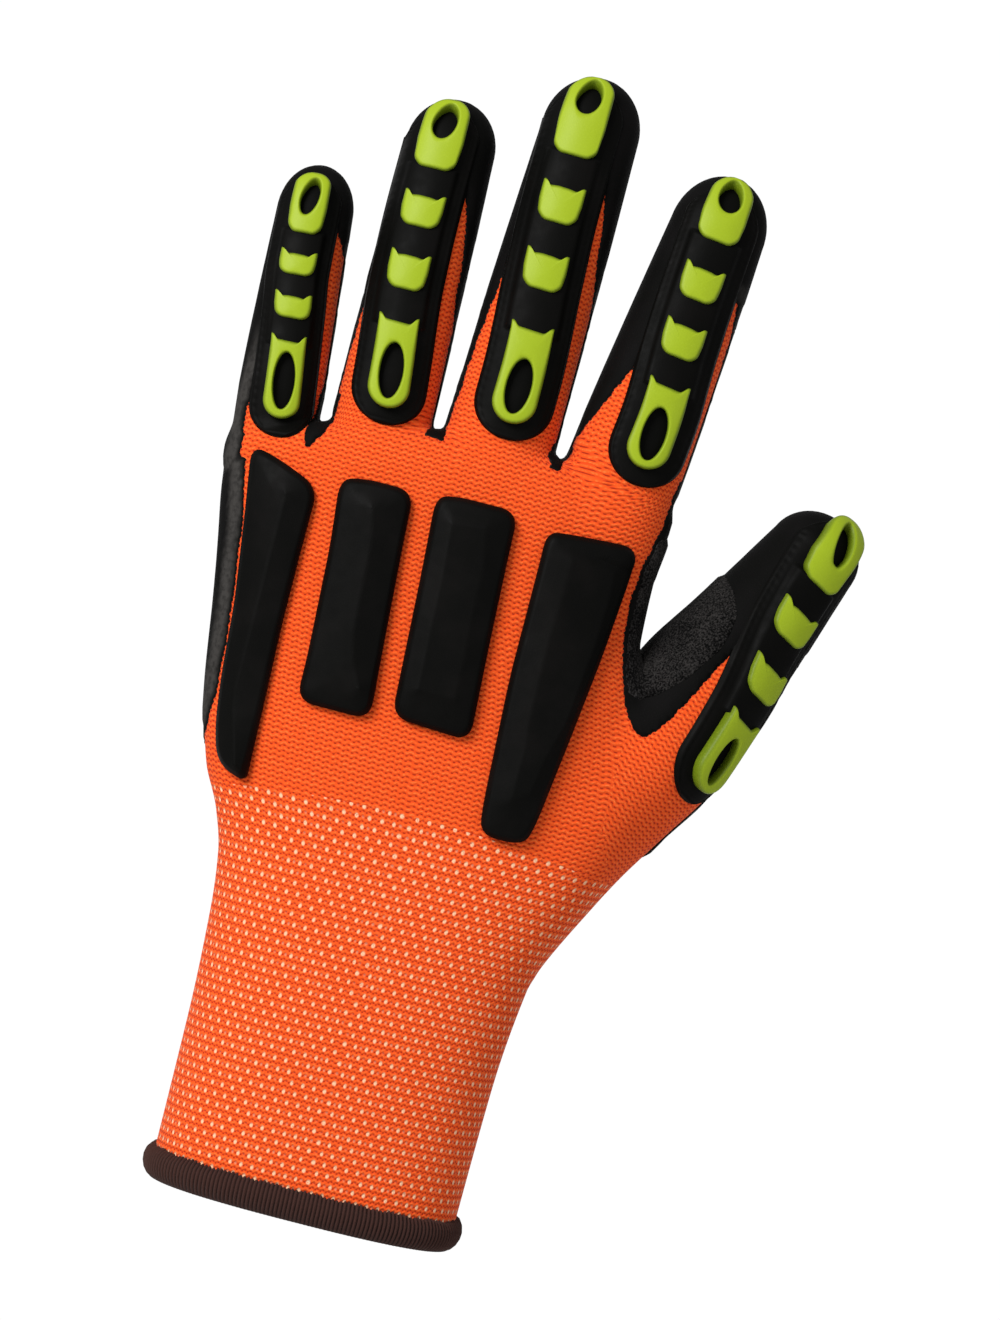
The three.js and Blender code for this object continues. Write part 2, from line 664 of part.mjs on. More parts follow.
// Bars on the back of the hand: a lower rim, a bevel and a ridge that divides two facets.
function bar(rows) {
  const last = rows.length - 1;
  const grid = (heightOf) =>
    rows.map((row, i) => {
      const [left, right, ridge] = [row.left, row.right, row.ridge].map(acrossHand);
      const [inLeft, inRight] = [left + BAR_BEVEL, right - BAR_BEVEL];
      const columns = [left, inLeft, (inLeft + ridge) / 2, ridge, (inRight + ridge) / 2, inRight, right];
      const z = upHand(row.up);
      return columns.map((x, j) => {
        const rim = i === 0 || i === last || j === 0 || j === columns.length - 1;
        return new THREE.Vector3(x, -dorsalOut(x, z) - heightOf(rim, j), z);
      });
    });
  const crest = [0, 0.7, 0.85, 1, 0.85, 0.7, 0];
  const low = grid(() => SEAM_GAP);
  const high = grid((rim, j) => SEAM_GAP + (rim ? BAR_EDGE : mix(BAR_EDGE, BAR_HEIGHT, crest[j])));
  return slab(low, high);
}

// Coating

// Bare knit on a digit's back, as a block from its middle plane outwards.
function digitWindow(digit) {
  const rows = [{ ...digit.window[0], along: digit.windowFrom }, ...digit.window.slice(1)];
  const grid = (lift) =>
    rows.map((row) => {
      const at = row.along * digit.length;
      const { centre, across, out } = frameAt(digit, at);
      const [half] = halves(digit, Math.min(at, digit.shaft));
      const reach = half + COAT_TOP;
      return [row.left, row.right].map((share) =>
        centre.clone().addScaledVector(across, share * reach).addScaledVector(out, lift),
      );
    });
  return slab(grid(0), grid(THUMB_DEPTH));
}

function coating() {
  const heel = CUFF_LENGTH + COAT_ABOVE_CUFF;
  const below = new THREE.BoxGeometry(2 * FAR, 2 * FAR, FAR).translate(0, 0, heel - FAR / 2);
  const cuts = [
    below,
    prism(outlineOf(BACK_WINDOW), -FAR, 0),
    ...DIGITS.map(digitWindow),
    ...DIGITS.map(guardSpace),
  ];
  return largest(cuts.map(solidFrom).reduce((rest, cut) => rest.subtract(cut), skin(SEAM_GAP, COAT_TOP, 0)));
}

function crotchPatch() {
  const outline = PATCH_OUTLINE.map((row) => [acrossHand(row.out), upHand(row.up)]).reverse();
  const region = solidFrom(prism(outline, -FAR, FAR));
  const low = COAT_TOP + SEAM_GAP;
  return largest(skin(low, low + PATCH_WALL, 0).intersect(region));
}

// Knit and hem

const MOUTH = HEM_FOLD + SEAM_GAP;

// A block that holds a digit beyond a distance along it, as wide as the gaps between the fingers let it be.
function beyond(digit, from) {
  const width = 2 * halves(digit, from)[0] + WEB_GAP;
  const reach = digit.length - from + WEB_GAP;
  const turn = new THREE.Matrix4().makeBasis(digit.side, digit.back.clone().negate(), digit.along);
  turn.setPosition(digit.start.clone().addScaledVector(digit.along, from));
  const block = new THREE.BoxGeometry(width, 2 * THUMB_DEPTH, reach).translate(0, 0, reach / 2);
  return solidFrom(block.applyMatrix4(turn));
}

// The liner as a cuff with its hand, and the digits, each with a hairline joint just past its root.
function knitLiner() {
  const whole = wholeHand(0, MOUTH).subtract(wholeHand(-KNIT_WALL, MOUTH - 2 * KNIT_WALL));
  const hand = DIGITS.reduce((rest, digit) => rest.subtract(beyond(digit, digit.joint)), whole);
  const digits = DIGITS.map((digit) => whole.intersect(beyond(digit, digit.joint + SEAM_GAP)));
  return { hand, digits };
}

// A stretch of the cuff between two heights.
const cuffBlock = (grow, from, to) => loft([bodyRing(from, grow), bodyRing(to, grow)]);

function hem() {
  const inner = -KNIT_WALL - SEAM_GAP;
  const outer = solidFrom(cuffBlock(SEAM_GAP + HEM_WALL, 0, HEM_HEIGHT));
  const mouth = solidFrom(cuffBlock(inner - HEM_WALL / 2, -1, HEM_HEIGHT + 1));
  const slot = solidFrom(cuffBlock(SEAM_GAP, HEM_FOLD, HEM_HEIGHT + 1));
  const lining = solidFrom(cuffBlock(inner, HEM_FOLD - 1, HEM_HEIGHT + 2));
  return outer.subtract(mouth).subtract(slot.subtract(lining));
}

// Assembly

const glove = new THREE.Group();

function add(name, geometry, look) {
  const material = new THREE.MeshStandardMaterial({ ...COLOURS[look], metalness: 0 });
  const mesh = new THREE.Mesh(geometry, material);
  mesh.name = name;
  glove.add(mesh);
}

const liner = knitLiner();
add("knit_liner", geometryFrom(liner.hand), "knit");
liner.digits.forEach((solid, i) => add(`knit_liner_${DIGITS[i].name}`, geometryFrom(solid), "knit"));
add("nitrile_coat", geometryFrom(coating()), "coat");
add("crotch_patch", geometryFrom(crotchPatch()), "patch");
add("cuff_hem", geometryFrom(hem()), "yarn");
for (const [name, rows] of Object.entries(BARS)) add(`knuckle_bar_${name}`, bar(rows), "rubber");
for (const digit of DIGITS) {
  add(`guard_${digit.name}`, guardBase(digit), "rubber");
  for (const pad of PADS) {
    const solid = solidFrom(guardPad(digit, pad));
    const cut = pad.window ? solid.subtract(solidFrom(padWindow(digit, pad))) : solid;
    add(`guard_${digit.name}_pad_${pad.name}`, geometryFrom(cut), "lime");
  }
}

export default glove;
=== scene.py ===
"""Looks of a knitted work glove with impact guards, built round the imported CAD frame."""

import logging
import math
from dataclasses import dataclass, field
from enum import Enum

import bpy
import numpy as np
from mathutils import Matrix, Vector


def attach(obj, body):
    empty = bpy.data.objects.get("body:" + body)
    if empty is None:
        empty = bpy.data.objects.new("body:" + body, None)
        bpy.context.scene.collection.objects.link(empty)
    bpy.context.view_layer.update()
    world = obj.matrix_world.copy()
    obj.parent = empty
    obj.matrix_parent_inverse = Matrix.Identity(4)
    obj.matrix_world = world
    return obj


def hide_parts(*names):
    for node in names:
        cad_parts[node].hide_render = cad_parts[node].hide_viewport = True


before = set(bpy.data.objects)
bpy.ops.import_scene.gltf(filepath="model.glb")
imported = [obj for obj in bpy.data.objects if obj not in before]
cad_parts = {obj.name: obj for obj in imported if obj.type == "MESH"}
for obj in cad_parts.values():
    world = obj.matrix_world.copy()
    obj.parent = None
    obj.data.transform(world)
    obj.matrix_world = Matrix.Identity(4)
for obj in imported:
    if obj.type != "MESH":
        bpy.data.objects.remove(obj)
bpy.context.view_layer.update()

log = logging.getLogger("glove")

MM = 0.001

# Millimetres: height of the hand where the fingers start, outer sides of the layers above the form,
# the knit's wall, the mesh's pitch and the height of the liner's lower edge inside the hem
HAND_TOP = 170.5
KNIT_RISE = 0.5
COAT_RISE = 1.1
PATCH_RISE = 1.6
DIP_EDGE = 0.08
KNIT_WALL = 1.3
NET_STEP = 1.22
MOUTH = 1.5


class PadKind(Enum):
    """Shapes of a guard's lime pads."""

    BASE = "base"
    MIDDLE = "middle"
    TIP = "tip"


# Curves and polygons


def smooth_curve(at: np.ndarray, keys: list[float], values: list[float]) -> np.ndarray:
    """A cubic through points that doesn't overshoot them, flat beyond its ends.

    Args:
        at: where to read the curve.
        keys: rising places of the points.
        values: heights of the points.

    Returns:
        The curve's heights, in the shape of ``at``.
    """
    keys, values = np.asarray(keys, float), np.asarray(values, float)
    steps = np.diff(keys)
    rises = np.diff(values) / steps
    both = rises[:-1] * rises[1:]
    total = rises[:-1] + rises[1:]
    middle = np.where(both > 0, 2 * both / np.where(total == 0, 1, total), 0)
    slopes = np.concatenate([[rises[0]], middle, [rises[-1]]])
    at = np.clip(at, keys[0], keys[-1])
    i = np.clip(np.searchsorted(keys, at, "right") - 1, 0, len(keys) - 2)
    t = (at - keys[i]) / steps[i]
    a, b = values[i], values[i + 1]
    p, q = slopes[i] * steps[i], slopes[i + 1] * steps[i]
    return a + t * p + t * t * (3 * (b - a) - 2 * p - q) + t**3 * (2 * (a - b) + p + q)


def ease(value: np.ndarray, low: float, high: float) -> np.ndarray:
    """A smooth step from 0 at low to 1 at high."""
    t = np.clip((value - low) / (high - low), 0, 1)
    return t * t * (3 - 2 * t)


def smooth_min(a: np.ndarray, b: np.ndarray, width: float) -> np.ndarray:
    """The lesser of two fields, with a fillet of about that width."""
    near = np.maximum(width - np.abs(a - b), 0) / width
    return np.minimum(a, b) - near * near * width / 4


def polygon_distance(x: np.ndarray, z: np.ndarray, corners: list[tuple[float, float]]) -> np.ndarray:
    """Distance from a polygon's edge, negative inside it.

    Args:
        x: first coordinates of the points.
        z: second coordinates of the points.
        corners: the polygon's corners in order.

    Returns:
        The signed distance of each point.
    """
    points = np.stack([x, z], 1)
    near = np.full(len(points), 1e9)
    inside = np.zeros(len(points), bool)
    for a, b in zip(corners, corners[1:] + corners[:1]):
        a, b = np.array(a, float), np.array(b, float)
        along = np.clip((points - a) @ (b - a) / max((b - a) @ (b - a), 1e-9), 0, 1)
        near = np.minimum(near, np.linalg.norm(points - a - along[:, None] * (b - a), axis=1))
        crosses = (a[1] > points[:, 1]) != (b[1] > points[:, 1])
        rise = b[1] - a[1] if b[1] != a[1] else 1.0
        inside ^= crosses & (points[:, 0] < a[0] + (points[:, 1] - a[1]) * (b[0] - a[0]) / rise)
    return np.where(inside, -near, near)


def rounded_loop(corners: list[tuple[float, ...]], count: int, reach: float) -> np.ndarray:
    """A closed outline with its corners rounded, as evenly spaced points.

    Args:
        corners: the outline's corners in order, each with a reach of its own as a third number if it has one.
        count: how many points to return.
        reach: how far from a corner its rounding starts.

    Returns:
        The points, one row each.
    """
    spans = [corner[2] if len(corner) > 2 else reach for corner in corners]
    loop = np.array([corner[:2] for corner in corners], float)
    share = np.linspace(0, 1, 9)[:, None]
    pieces = []
    for before, corner, after, span in zip(np.roll(loop, 1, 0), loop, np.roll(loop, -1, 0), spans):
        ends = []
        for other in (before, after):
            way = other - corner
            size = np.linalg.norm(way)
            ends.append(corner + way / size * min(span, size / 2))
        pieces.append((1 - share) ** 2 * ends[0] + 2 * share * (1 - share) * corner + share**2 * ends[1])
    loop = np.concatenate(pieces)
    closed = np.vstack([loop, loop[:1]])
    length = np.concatenate([[0], np.cumsum(np.linalg.norm(np.diff(closed, axis=0), axis=1))])
    at = np.linspace(0, length[-1], count, endpoint=False)
    return np.stack([np.interp(at, length, closed[:, k]) for k in range(2)], 1)


def nearest_on(points: np.ndarray, line: list[tuple[float, float]]) -> np.ndarray:
    """The places on an open line of points that lie nearest to other points."""
    best, near = points * 0, np.full(len(points), 1e9)
    for a, b in zip(line, line[1:]):
        a, b = np.array(a, float), np.array(b, float)
        along = np.clip((points - a) @ (b - a) / ((b - a) @ (b - a)), 0, 1)
        place = a + along[:, None] * (b - a)
        gap = np.linalg.norm(points - place, axis=1)
        best = np.where((gap < near)[:, None], place, best)
        near = np.minimum(near, gap)
    return best


# Form of the filled glove, in millimetres: negative inside


@dataclass(frozen=True)
class Digit:
    """A finger or the thumb: a bent tube with a rounded tip, tapered or with widths at stations of its own.

    It starts inside the hand, leans and tilts by angles in degrees, and its back rolls from root to tip.
    """

    name: str
    start: tuple[float, float, float]
    lean: float
    length: float
    bend: float
    root_width: float = 0.0
    tip_width: float = 0.0
    sink: float = 16.0
    tilt: float = 0.0
    roll: float = 0.0
    tip_roll: float = 0.0
    flatness: float = 0.88
    squareness: float = 2.2
    cap: float = 8.6
    stations: tuple[float, ...] = ()
    widths: tuple[float, ...] = ()
    depths: tuple[float, ...] = ()

    @property
    def shaft(self) -> float:
        """Length before the rounded tip."""
        return self.length - self.cap

    def axes(self) -> tuple[np.ndarray, np.ndarray, np.ndarray]:
        """Directions along the digit, out of its back and to its side, before the roll."""
        a, b = math.radians(self.lean), math.radians(self.tilt)
        along = np.array([math.sin(a) * math.cos(b), math.sin(b), math.cos(a) * math.cos(b)])
        back = np.array([0.0, -1.0, 0.0])
        back = back - along * (back @ along)
        back /= np.linalg.norm(back)
        return along, back, np.cross(along, back)

    def halves(self, at: np.ndarray) -> tuple[np.ndarray, np.ndarray]:
        """Half width and half depth at distances along the digit."""
        share = at / self.shaft
        if self.stations:
            width = smooth_curve(share, self.stations, self.widths)
            depth = smooth_curve(share, self.stations, self.depths)
            return width / 2, depth / 2
        taper = np.clip(share, 0, 1) ** 1.3
        width = self.root_width + (self.tip_width - self.root_width) * taper
        width = width * (0.95 + 0.05 * np.clip((at + self.sink) / self.sink, 0, 1))
        return width / 2, width / 2 * self.flatness

    def turn(self, at: np.ndarray) -> np.ndarray:
        """Roll of the digit's back at distances along it, in radians."""
        share = np.clip(at / self.length, 0, 1)
        return np.radians(self.roll + (self.tip_roll - self.roll) * share)

    def droop(self, at: np.ndarray) -> np.ndarray:
        """How far the centre line is bent towards the palm."""
        return self.bend * np.maximum(at / self.length, 0) ** 1.7

    def local(self, x: np.ndarray, y: np.ndarray, z: np.ndarray) -> tuple[np.ndarray, np.ndarray, np.ndarray]:
        """Distances along the digit, across it and out of its back."""
        along, back, side = self.axes()
        dx, dy, dz = x - self.start[0], y - self.start[1], z - self.start[2]
        at = dx * along[0] + dz * along[2]
        if along[1]:
            at = at + dy * along[1]
        out = dx * back[0] + dy * back[1] + dz * back[2]
        across = dx * side[0] + dy * side[1] + dz * side[2]
        if self.roll or self.tip_roll:
            c, s = np.cos(self.turn(at)), np.sin(self.turn(at))
            out, across = out * c + across * s, across * c - out * s
        return at, across, out + self.droop(at)

    def distance(self, x: np.ndarray, y: np.ndarray, z: np.ndarray) -> np.ndarray:
        """Field of the digit, about a distance near its surface."""
        at, across, out = self.local(x, y, z)
        half, deep = self.halves(np.minimum(at, self.shaft))
        n = self.squareness
        u, w = np.abs(across) / half, np.abs(out) / deep
        section = np.maximum(u**n + w**n, 1e-6) ** (1 / n)
        past = np.maximum(at - self.shaft, 0) / self.cap
        whole = np.sqrt(section**2 + past**2)
        slope = np.hypot(u ** (n - 1) / half, w ** (n - 1) / deep) * section ** (1 - n)
        slope = np.hypot(section / whole * slope, past / (whole * self.cap))
        return np.maximum((whole - 1) / np.maximum(slope, 0.02), -self.sink - at)


@dataclass(frozen=True)
class HandForm:
    """The filled glove: cuff and hand as one body, four fingers and the thumb.

    The body's sides and depths are read at heights above the cuff's edge; its knuckle line is an arch.
    """

    digits: tuple[Digit, ...] = (
        Digit("little", (-47.45, 1.6, HAND_TOP), -4.2, 49.0, 6.0, 16.6, 14.4, cap=9.5),
        Digit("ring", (-24.85, -0.6, HAND_TOP), -0.5, 69.8, 7.0, 20.0, 17.4, cap=9.8),
        Digit("middle", (0.75, -1.0, HAND_TOP), 1.9, 82.1, 8.0, 22.6, 19.2, cap=11.0),
        Digit("index", (28.25, -0.4, HAND_TOP), 6.9, 68.6, 6.0, 23.8, 18.8, cap=11.5),
        Digit(
            "thumb",
            (27.6, 1.0, 68.0),
            lean=25.6,
            length=116.0,
            bend=2.0,
            sink=0.0,
            tilt=5.0,
            roll=60.0,
            tip_roll=28.0,
            stations=(0.0, 0.12, 0.22, 0.36, 0.5, 0.64, 0.78, 1.0),
            widths=(19.8, 23.0, 24.6, 26.4, 29.4, 28.5, 24.3, 18.6),
            depths=(15.7, 19.2, 21.0, 24.1, 28.0, 27.4, 23.2, 17.4),
        ),
    )
    heights: tuple[float, ...] = (
        0.0, 35.6, 58.7, 71.2, 80.1, 89.0, 105.3, 123.2, 137.9, 152.6, 162.4, 168.1, 170.5,
    )
    lefts: tuple[float, ...] = (
        -33.2, -33.5, -34.5, -36.0, -38.8, -43.1, -46.8, -49.5, -51.8, -53.6, -54.4, -54.9, -54.9,
    )
    rights: tuple[float, ...] = (
        33.2, 33.9, 36.0, 39.8, 43.2, 46.4, 47.6, 44.5, 39.3, 38.9, 39.6, 39.75, 39.3,
    )
    backs: tuple[float, ...] = (
        21.5, 20.9, 19.1, 17.6, 16.6, 15.6, 15.0, 14.55, 14.1, 13.65, 12.75, 11.1, 8.7,
    )
    palms: tuple[float, ...] = (
        21.5, 21.1, 20.0, 19.35, 18.9, 18.45, 17.85, 16.8, 15.3, 13.8, 12.3, 10.5, 7.8,
    )
    squareness: float = 2.5
    arch: float = 7.5
    arch_middle: float = 3.7
    half_palm: float = 47.95
    web_fillet: float = 3.0
    thumb_fillet: float = 5.0
    top_fillet: float = 4.0
    knuckle_start: float = 129.75
    ray_reach: float = 34.0

    def level(self, x: np.ndarray, z: np.ndarray) -> np.ndarray:
        """Height of the section that passes through a place, before the knuckle line drops."""
        share = ((x - self.arch_middle) / self.half_palm) ** 2
        level = z + 0 * x
        for _ in range(3):
            level = z + self.arch * share * ease(level, self.knuckle_start, HAND_TOP)
        return level

    def halves(self, level: np.ndarray) -> tuple[np.ndarray, np.ndarray, np.ndarray, np.ndarray]:
        """Middle, half width, depth of the back and depth of the palm at levels."""
        left = smooth_curve(level, self.heights, self.lefts)
        right = smooth_curve(level, self.heights, self.rights)
        back = smooth_curve(level, self.heights, self.backs)
        palm = smooth_curve(level, self.heights, self.palms)
        return (left + right) / 2, (right - left) / 2, back, palm

    def body(self, x: np.ndarray, y: np.ndarray, z: np.ndarray) -> np.ndarray:
        """Field of the cuff and hand without fingers."""
        level = self.level(x, z)
        middle, half, back, palm = self.halves(level)
        deep = np.where(y < 0, back, palm)
        n = self.squareness
        u, w = np.abs(x - middle) / half, np.abs(y) / deep
        section = np.maximum(u**n + w**n, 1e-6) ** (1 / n)
        slope = np.hypot(u ** (n - 1) / half, w ** (n - 1) / deep) * section ** (1 - n)
        side = (section - 1) / np.maximum(slope, 0.01)
        return -smooth_min(-side, HAND_TOP - level, self.top_fillet)

    def parts(self, x: np.ndarray, y: np.ndarray, z: np.ndarray) -> list[np.ndarray]:
        """Fields of the digits in their order, and of the body last."""
        return [*(digit.distance(x, y, z) for digit in self.digits), self.body(x, y, z)]

    def distance(self, x: np.ndarray, y: np.ndarray, z: np.ndarray) -> np.ndarray:
        """Field of the whole filled glove."""
        *fingers, thumb, body = self.parts(x, y, z)
        nearest = fingers[0]
        for finger in fingers[1:]:
            nearest = np.minimum(nearest, finger)
        return smooth_min(smooth_min(body, nearest, self.web_fillet), thumb, self.thumb_fillet)

    def slope(self, points: np.ndarray) -> np.ndarray:
        """Gradient of the field at points, by central differences."""
        gap = 0.05
        columns = []
        for axis in range(3):
            move = np.zeros(3)
            move[axis] = gap
            ahead, behind = points + move, points - move
            columns.append((self.distance(*ahead.T) - self.distance(*behind.T)) / (2 * gap))
        return np.stack(columns, 1)

    def settle(self, points: np.ndarray, rise: float | np.ndarray = 0.0, rounds: int = 3) -> np.ndarray:
        """Points moved along the field's gradient to where it has the value of rise."""
        for _ in range(rounds):
            slope = self.slope(points)
            lack = (self.distance(*points.T) - rise) / np.maximum((slope**2).sum(1), 0.05)
            points = points - np.clip(lack, -1.5, 1.5)[:, None] * slope
        return points

    def seat(self, origins: np.ndarray, directions: np.ndarray, rise: float) -> tuple[np.ndarray, np.ndarray]:
        """Where rays that leave the form pass its surface.

        Args:
            origins: points inside the form.
            directions: unit directions out of it.
            rise: value of the field that counts as the surface.

        Returns:
            The points on the surface and the unit normals there.
        """
        low, high = np.zeros(len(origins)), np.full(len(origins), self.ray_reach)
        for _ in range(22):
            middle = (low + high) / 2
            out = self.distance(*(origins + middle[:, None] * directions).T) > rise
            low, high = np.where(out, low, middle), np.where(out, middle, high)
        points = origins + low[:, None] * directions
        normals = self.slope(points)
        return points, normals / np.maximum(np.linalg.norm(normals, axis=1), 1e-6)[:, None]


# Meshes


@dataclass
class Surface:
    """Points with their normals, and the faces between them."""

    points: np.ndarray
    normals: np.ndarray
    faces: np.ndarray
    data: dict[str, np.ndarray] = field(default_factory=dict)


def surface_net(values: np.ndarray, origin: np.ndarray, step: float) -> tuple[np.ndarray, np.ndarray]:
    """The zero surface of a field on a grid, as quads that face the positive side.

    Args:
        values: the field at the grid's points.
        origin: place of the grid's first point.
        step: distance between the grid's points.

    Returns:
        Points and faces, open where the surface leaves the grid.
    """
    cells = tuple(n - 1 for n in values.shape)
    total, count = np.zeros(cells + (3,)), np.zeros(cells)
    for axis in range(3):
        others = [a for a in range(3) if a != axis]
        for shift in ((0, 0), (0, 1), (1, 0), (1, 1)):
            window = [slice(None)] * 3
            offset = np.zeros(3)
            for other, s in zip(others, shift):
                window[other] = slice(s, values.shape[other] - 1 + s)
                offset[other] = s
            first, second = list(window), list(window)
            first[axis], second[axis] = slice(0, -1), slice(1, None)
            a, b = values[tuple(first)], values[tuple(second)]
            crossed = (a < 0) != (b < 0)
            share = np.where(crossed, a / np.where(crossed, a - b, 1), 0)
            count += crossed
            for k in range(3):
                total[..., k] += crossed * (share if k == axis else offset[k])
    used = count > 0
    number = np.full(cells, -1)
    number[used] = np.arange(used.sum())
    points = origin + step * (np.argwhere(used) + total[used] / count[used][:, None])
    quads = []
    for axis in range(3):
        b, c = (axis + 1) % 3, (axis + 2) % 3
        first, second = [slice(1, -1)] * 3, [slice(1, -1)] * 3
        first[axis], second[axis] = slice(0, -1), slice(1, None)
        low, high = values[tuple(first)] < 0, values[tuple(second)] < 0
        at = np.argwhere(low != high)
        base = np.ones(3, int)
        base[axis] = 0
        place = at + base
        step_b, step_c = np.eye(3, dtype=int)[b], np.eye(3, dtype=int)[c]
        ring = [place - step_b - step_c, place - step_c, place, place - step_b]
        face = np.stack([number[tuple(p.T)] for p in ring], 1)
        leaves = low[tuple(at.T)]
        quads.append(np.where(leaves[:, None], face, face[:, ::-1]))
    return points, np.concatenate(quads)


def triangles_of(quads: np.ndarray) -> np.ndarray:
    """Two triangles for each quad."""
    return np.concatenate([quads[:, [0, 1, 2]], quads[:, [0, 2, 3]]])


def clipped(surface: Surface, keep: np.ndarray) -> Surface:
    """The part of a triangle surface where a value at its points is positive.

    Args:
        surface: the whole surface.
        keep: the value at each point.

    Returns:
        A surface cut along the value's zero line, with its data carried over.
    """
    keep = np.where(np.abs(keep) < 0.03, np.where(keep < 0, -0.03, 0.03), keep)
    faces = surface.faces
    sign = keep[faces] > 0
    inside = sign.sum(1)
    whole = faces[inside == 3]
    pieces, edges = [whole], []

    def cut(rows: np.ndarray) -> np.ndarray:
        """Numbers for new points on edges given as (kept, dropped) rows."""
        edges.append(rows)
        return np.arange(len(rows)) + len(keep) + sum(len(e) for e in edges[:-1])

    for wanted, lone in ((1, True), (2, False)):
        chosen = faces[inside == wanted]
        odd = np.argmax(sign[inside == wanted] == lone, 1)
        a, b, c = (chosen[np.arange(len(chosen)), (odd + k) % 3] for k in range(3))
        if lone:
            ab, ac = cut(np.stack([a, b], 1)), cut(np.stack([a, c], 1))
            pieces.append(np.stack([a, ab, ac], 1))
        else:
            ba, ca = cut(np.stack([b, a], 1)), cut(np.stack([c, a], 1))
            pieces += [np.stack([ba, b, c], 1), np.stack([ba, c, ca], 1)]
    edge = np.concatenate(edges)
    share = (keep[edge[:, 0]] / (keep[edge[:, 0]] - keep[edge[:, 1]]))[:, None]

    def extended(values: np.ndarray) -> np.ndarray:
        """Values at the old points with those at the new ones after them."""
        flat = values.reshape(len(values), -1)
        more = flat[edge[:, 0]] * (1 - share) + flat[edge[:, 1]] * share
        return np.concatenate([flat, more]).reshape((-1,) + values.shape[1:])

    key = edge.min(1).astype(np.int64) * len(keep) + edge.max(1)
    _, first, same = np.unique(key, return_index=True, return_inverse=True)
    faces = np.concatenate(pieces)
    new = faces >= len(keep)
    faces[new] = len(keep) + first[same[faces[new] - len(keep)]]
    used, faces = np.unique(faces, return_inverse=True)
    faces = faces.reshape(-1, 3)
    data = {name: extended(values)[used] for name, values in surface.data.items()}
    return Surface(extended(surface.points)[used], extended(surface.normals)[used], faces, data)


def open_edges(faces: np.ndarray) -> np.ndarray:
    """Edges that only one face has, in that face's direction."""
    after = np.roll(faces, -1, 1)
    edges = np.stack([faces, after], -1).reshape(-1, 2)
    key = edges.min(1).astype(np.int64) * (faces.max() + 1) + edges.max(1)
    _, first, count = np.unique(key, return_index=True, return_counts=True)
    return edges[first[count == 1]]


def closed_skin(top: np.ndarray, bottom: np.ndarray, faces: np.ndarray) -> tuple[np.ndarray, list[list[int]]]:
    """A closed body between two sheets of points that share their faces.

    Args:
        top: points of the outer sheet.
        bottom: points of the inner sheet.
        faces: the outer sheet's faces.

    Returns:
        Points, the outer sheet's first, and faces.
    """
    n, edges = len(top), open_edges(faces)
    rim = np.stack([edges[:, 1], edges[:, 0], edges[:, 0] + n, edges[:, 1] + n], 1)
    return np.concatenate([top, bottom]), faces.tolist() + (faces[:, ::-1] + n).tolist() + rim.tolist()


def shell(surface: Surface, top: np.ndarray, bottom: np.ndarray) -> tuple[np.ndarray, list[list[int]]]:
    """A closed skin between two rises above a surface.

    Args:
        surface: the surface that the skin follows.
        top: rise of the outer side at each point.
        bottom: rise of the inner side at each point.

    Returns:
        Points, the outer side's first, and faces.
    """
    sheets = [surface.points + surface.normals * rise[:, None] for rise in (top, bottom)]
    return closed_skin(*sheets, surface.faces)


def grid_faces(rows: int, columns: int, wrap: bool = False) -> np.ndarray:
    """Quads of a grid of points, closed round its columns if wrap is set."""
    i, j = np.meshgrid(np.arange(rows - 1), np.arange(columns if wrap else columns - 1), indexing="ij")
    a, b = i * columns + j, i * columns + (j + 1) % columns
    return np.stack([a, b, b + columns, a + columns], -1).reshape(-1, 4)


def cap_strip(first: int, count: int, start: int) -> list[list[int]]:
    """Faces that close a slim loop from one of its ends to the other.

    Args:
        first: number of the loop's first point.
        count: how many points it has.
        start: which of them lies at one end.

    Returns:
        A triangle and quads across the loop, with its points in order.
    """
    number = [first + (start + k) % count for k in range(count)]
    faces = [[number[0], number[1], number[-1]]]
    for k in range(1, count // 2):
        row = [number[k], number[k + 1], number[-k - 1], number[-k]]
        faces.append(list(dict.fromkeys(row)))
    return [face for face in faces if len(face) > 2]


def add_piece(
    name: str,
    points: np.ndarray,
    faces: list[list[int]],
    material: bpy.types.Material,
    nodes: list[str],
    floats: dict[str, np.ndarray] | None = None,
) -> bpy.types.Object:
    """Makes a mesh object of the glove that rides on the frame.

    Args:
        name: the piece's name.
        points: its points in millimetres.
        faces: its faces as lists of point numbers.
        material: its finish.
        nodes: CAD nodes that it stands for.
        floats: values for each point, by attribute name.

    Returns:
        The new object.
    """
    mesh = bpy.data.meshes.new(name)
    mesh.from_pydata((np.asarray(points) * MM).tolist(), [], [list(map(int, f)) for f in faces])
    mesh.validate()
    mesh.update()
    for key, values in (floats or {}).items():
        if len(values) == len(mesh.vertices):
            kept = mesh.attributes.new(key, "FLOAT", "POINT")
            kept.data.foreach_set("value", np.asarray(values, np.float32))
    mesh.shade_smooth()
    mesh.materials.append(material)
    piece = bpy.data.objects.new(name, mesh)
    bpy.context.scene.collection.objects.link(piece)
    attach(piece, "root")
    if nodes:
        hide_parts(*nodes)
    log.info("%s: %d points, %d faces", name, len(mesh.vertices), len(mesh.polygons))
    return piece


# Finishes


def linear(code: str) -> tuple[float, ...]:
    """A colour from its sRGB hex code, in linear light."""
    parts = [int(code[i : i + 2], 16) / 255 for i in (1, 3, 5)]
    parts = [c / 12.92 if c <= 0.04045 else ((c + 0.055) / 1.055) ** 2.4 for c in parts]
    return (*parts, 1.0)


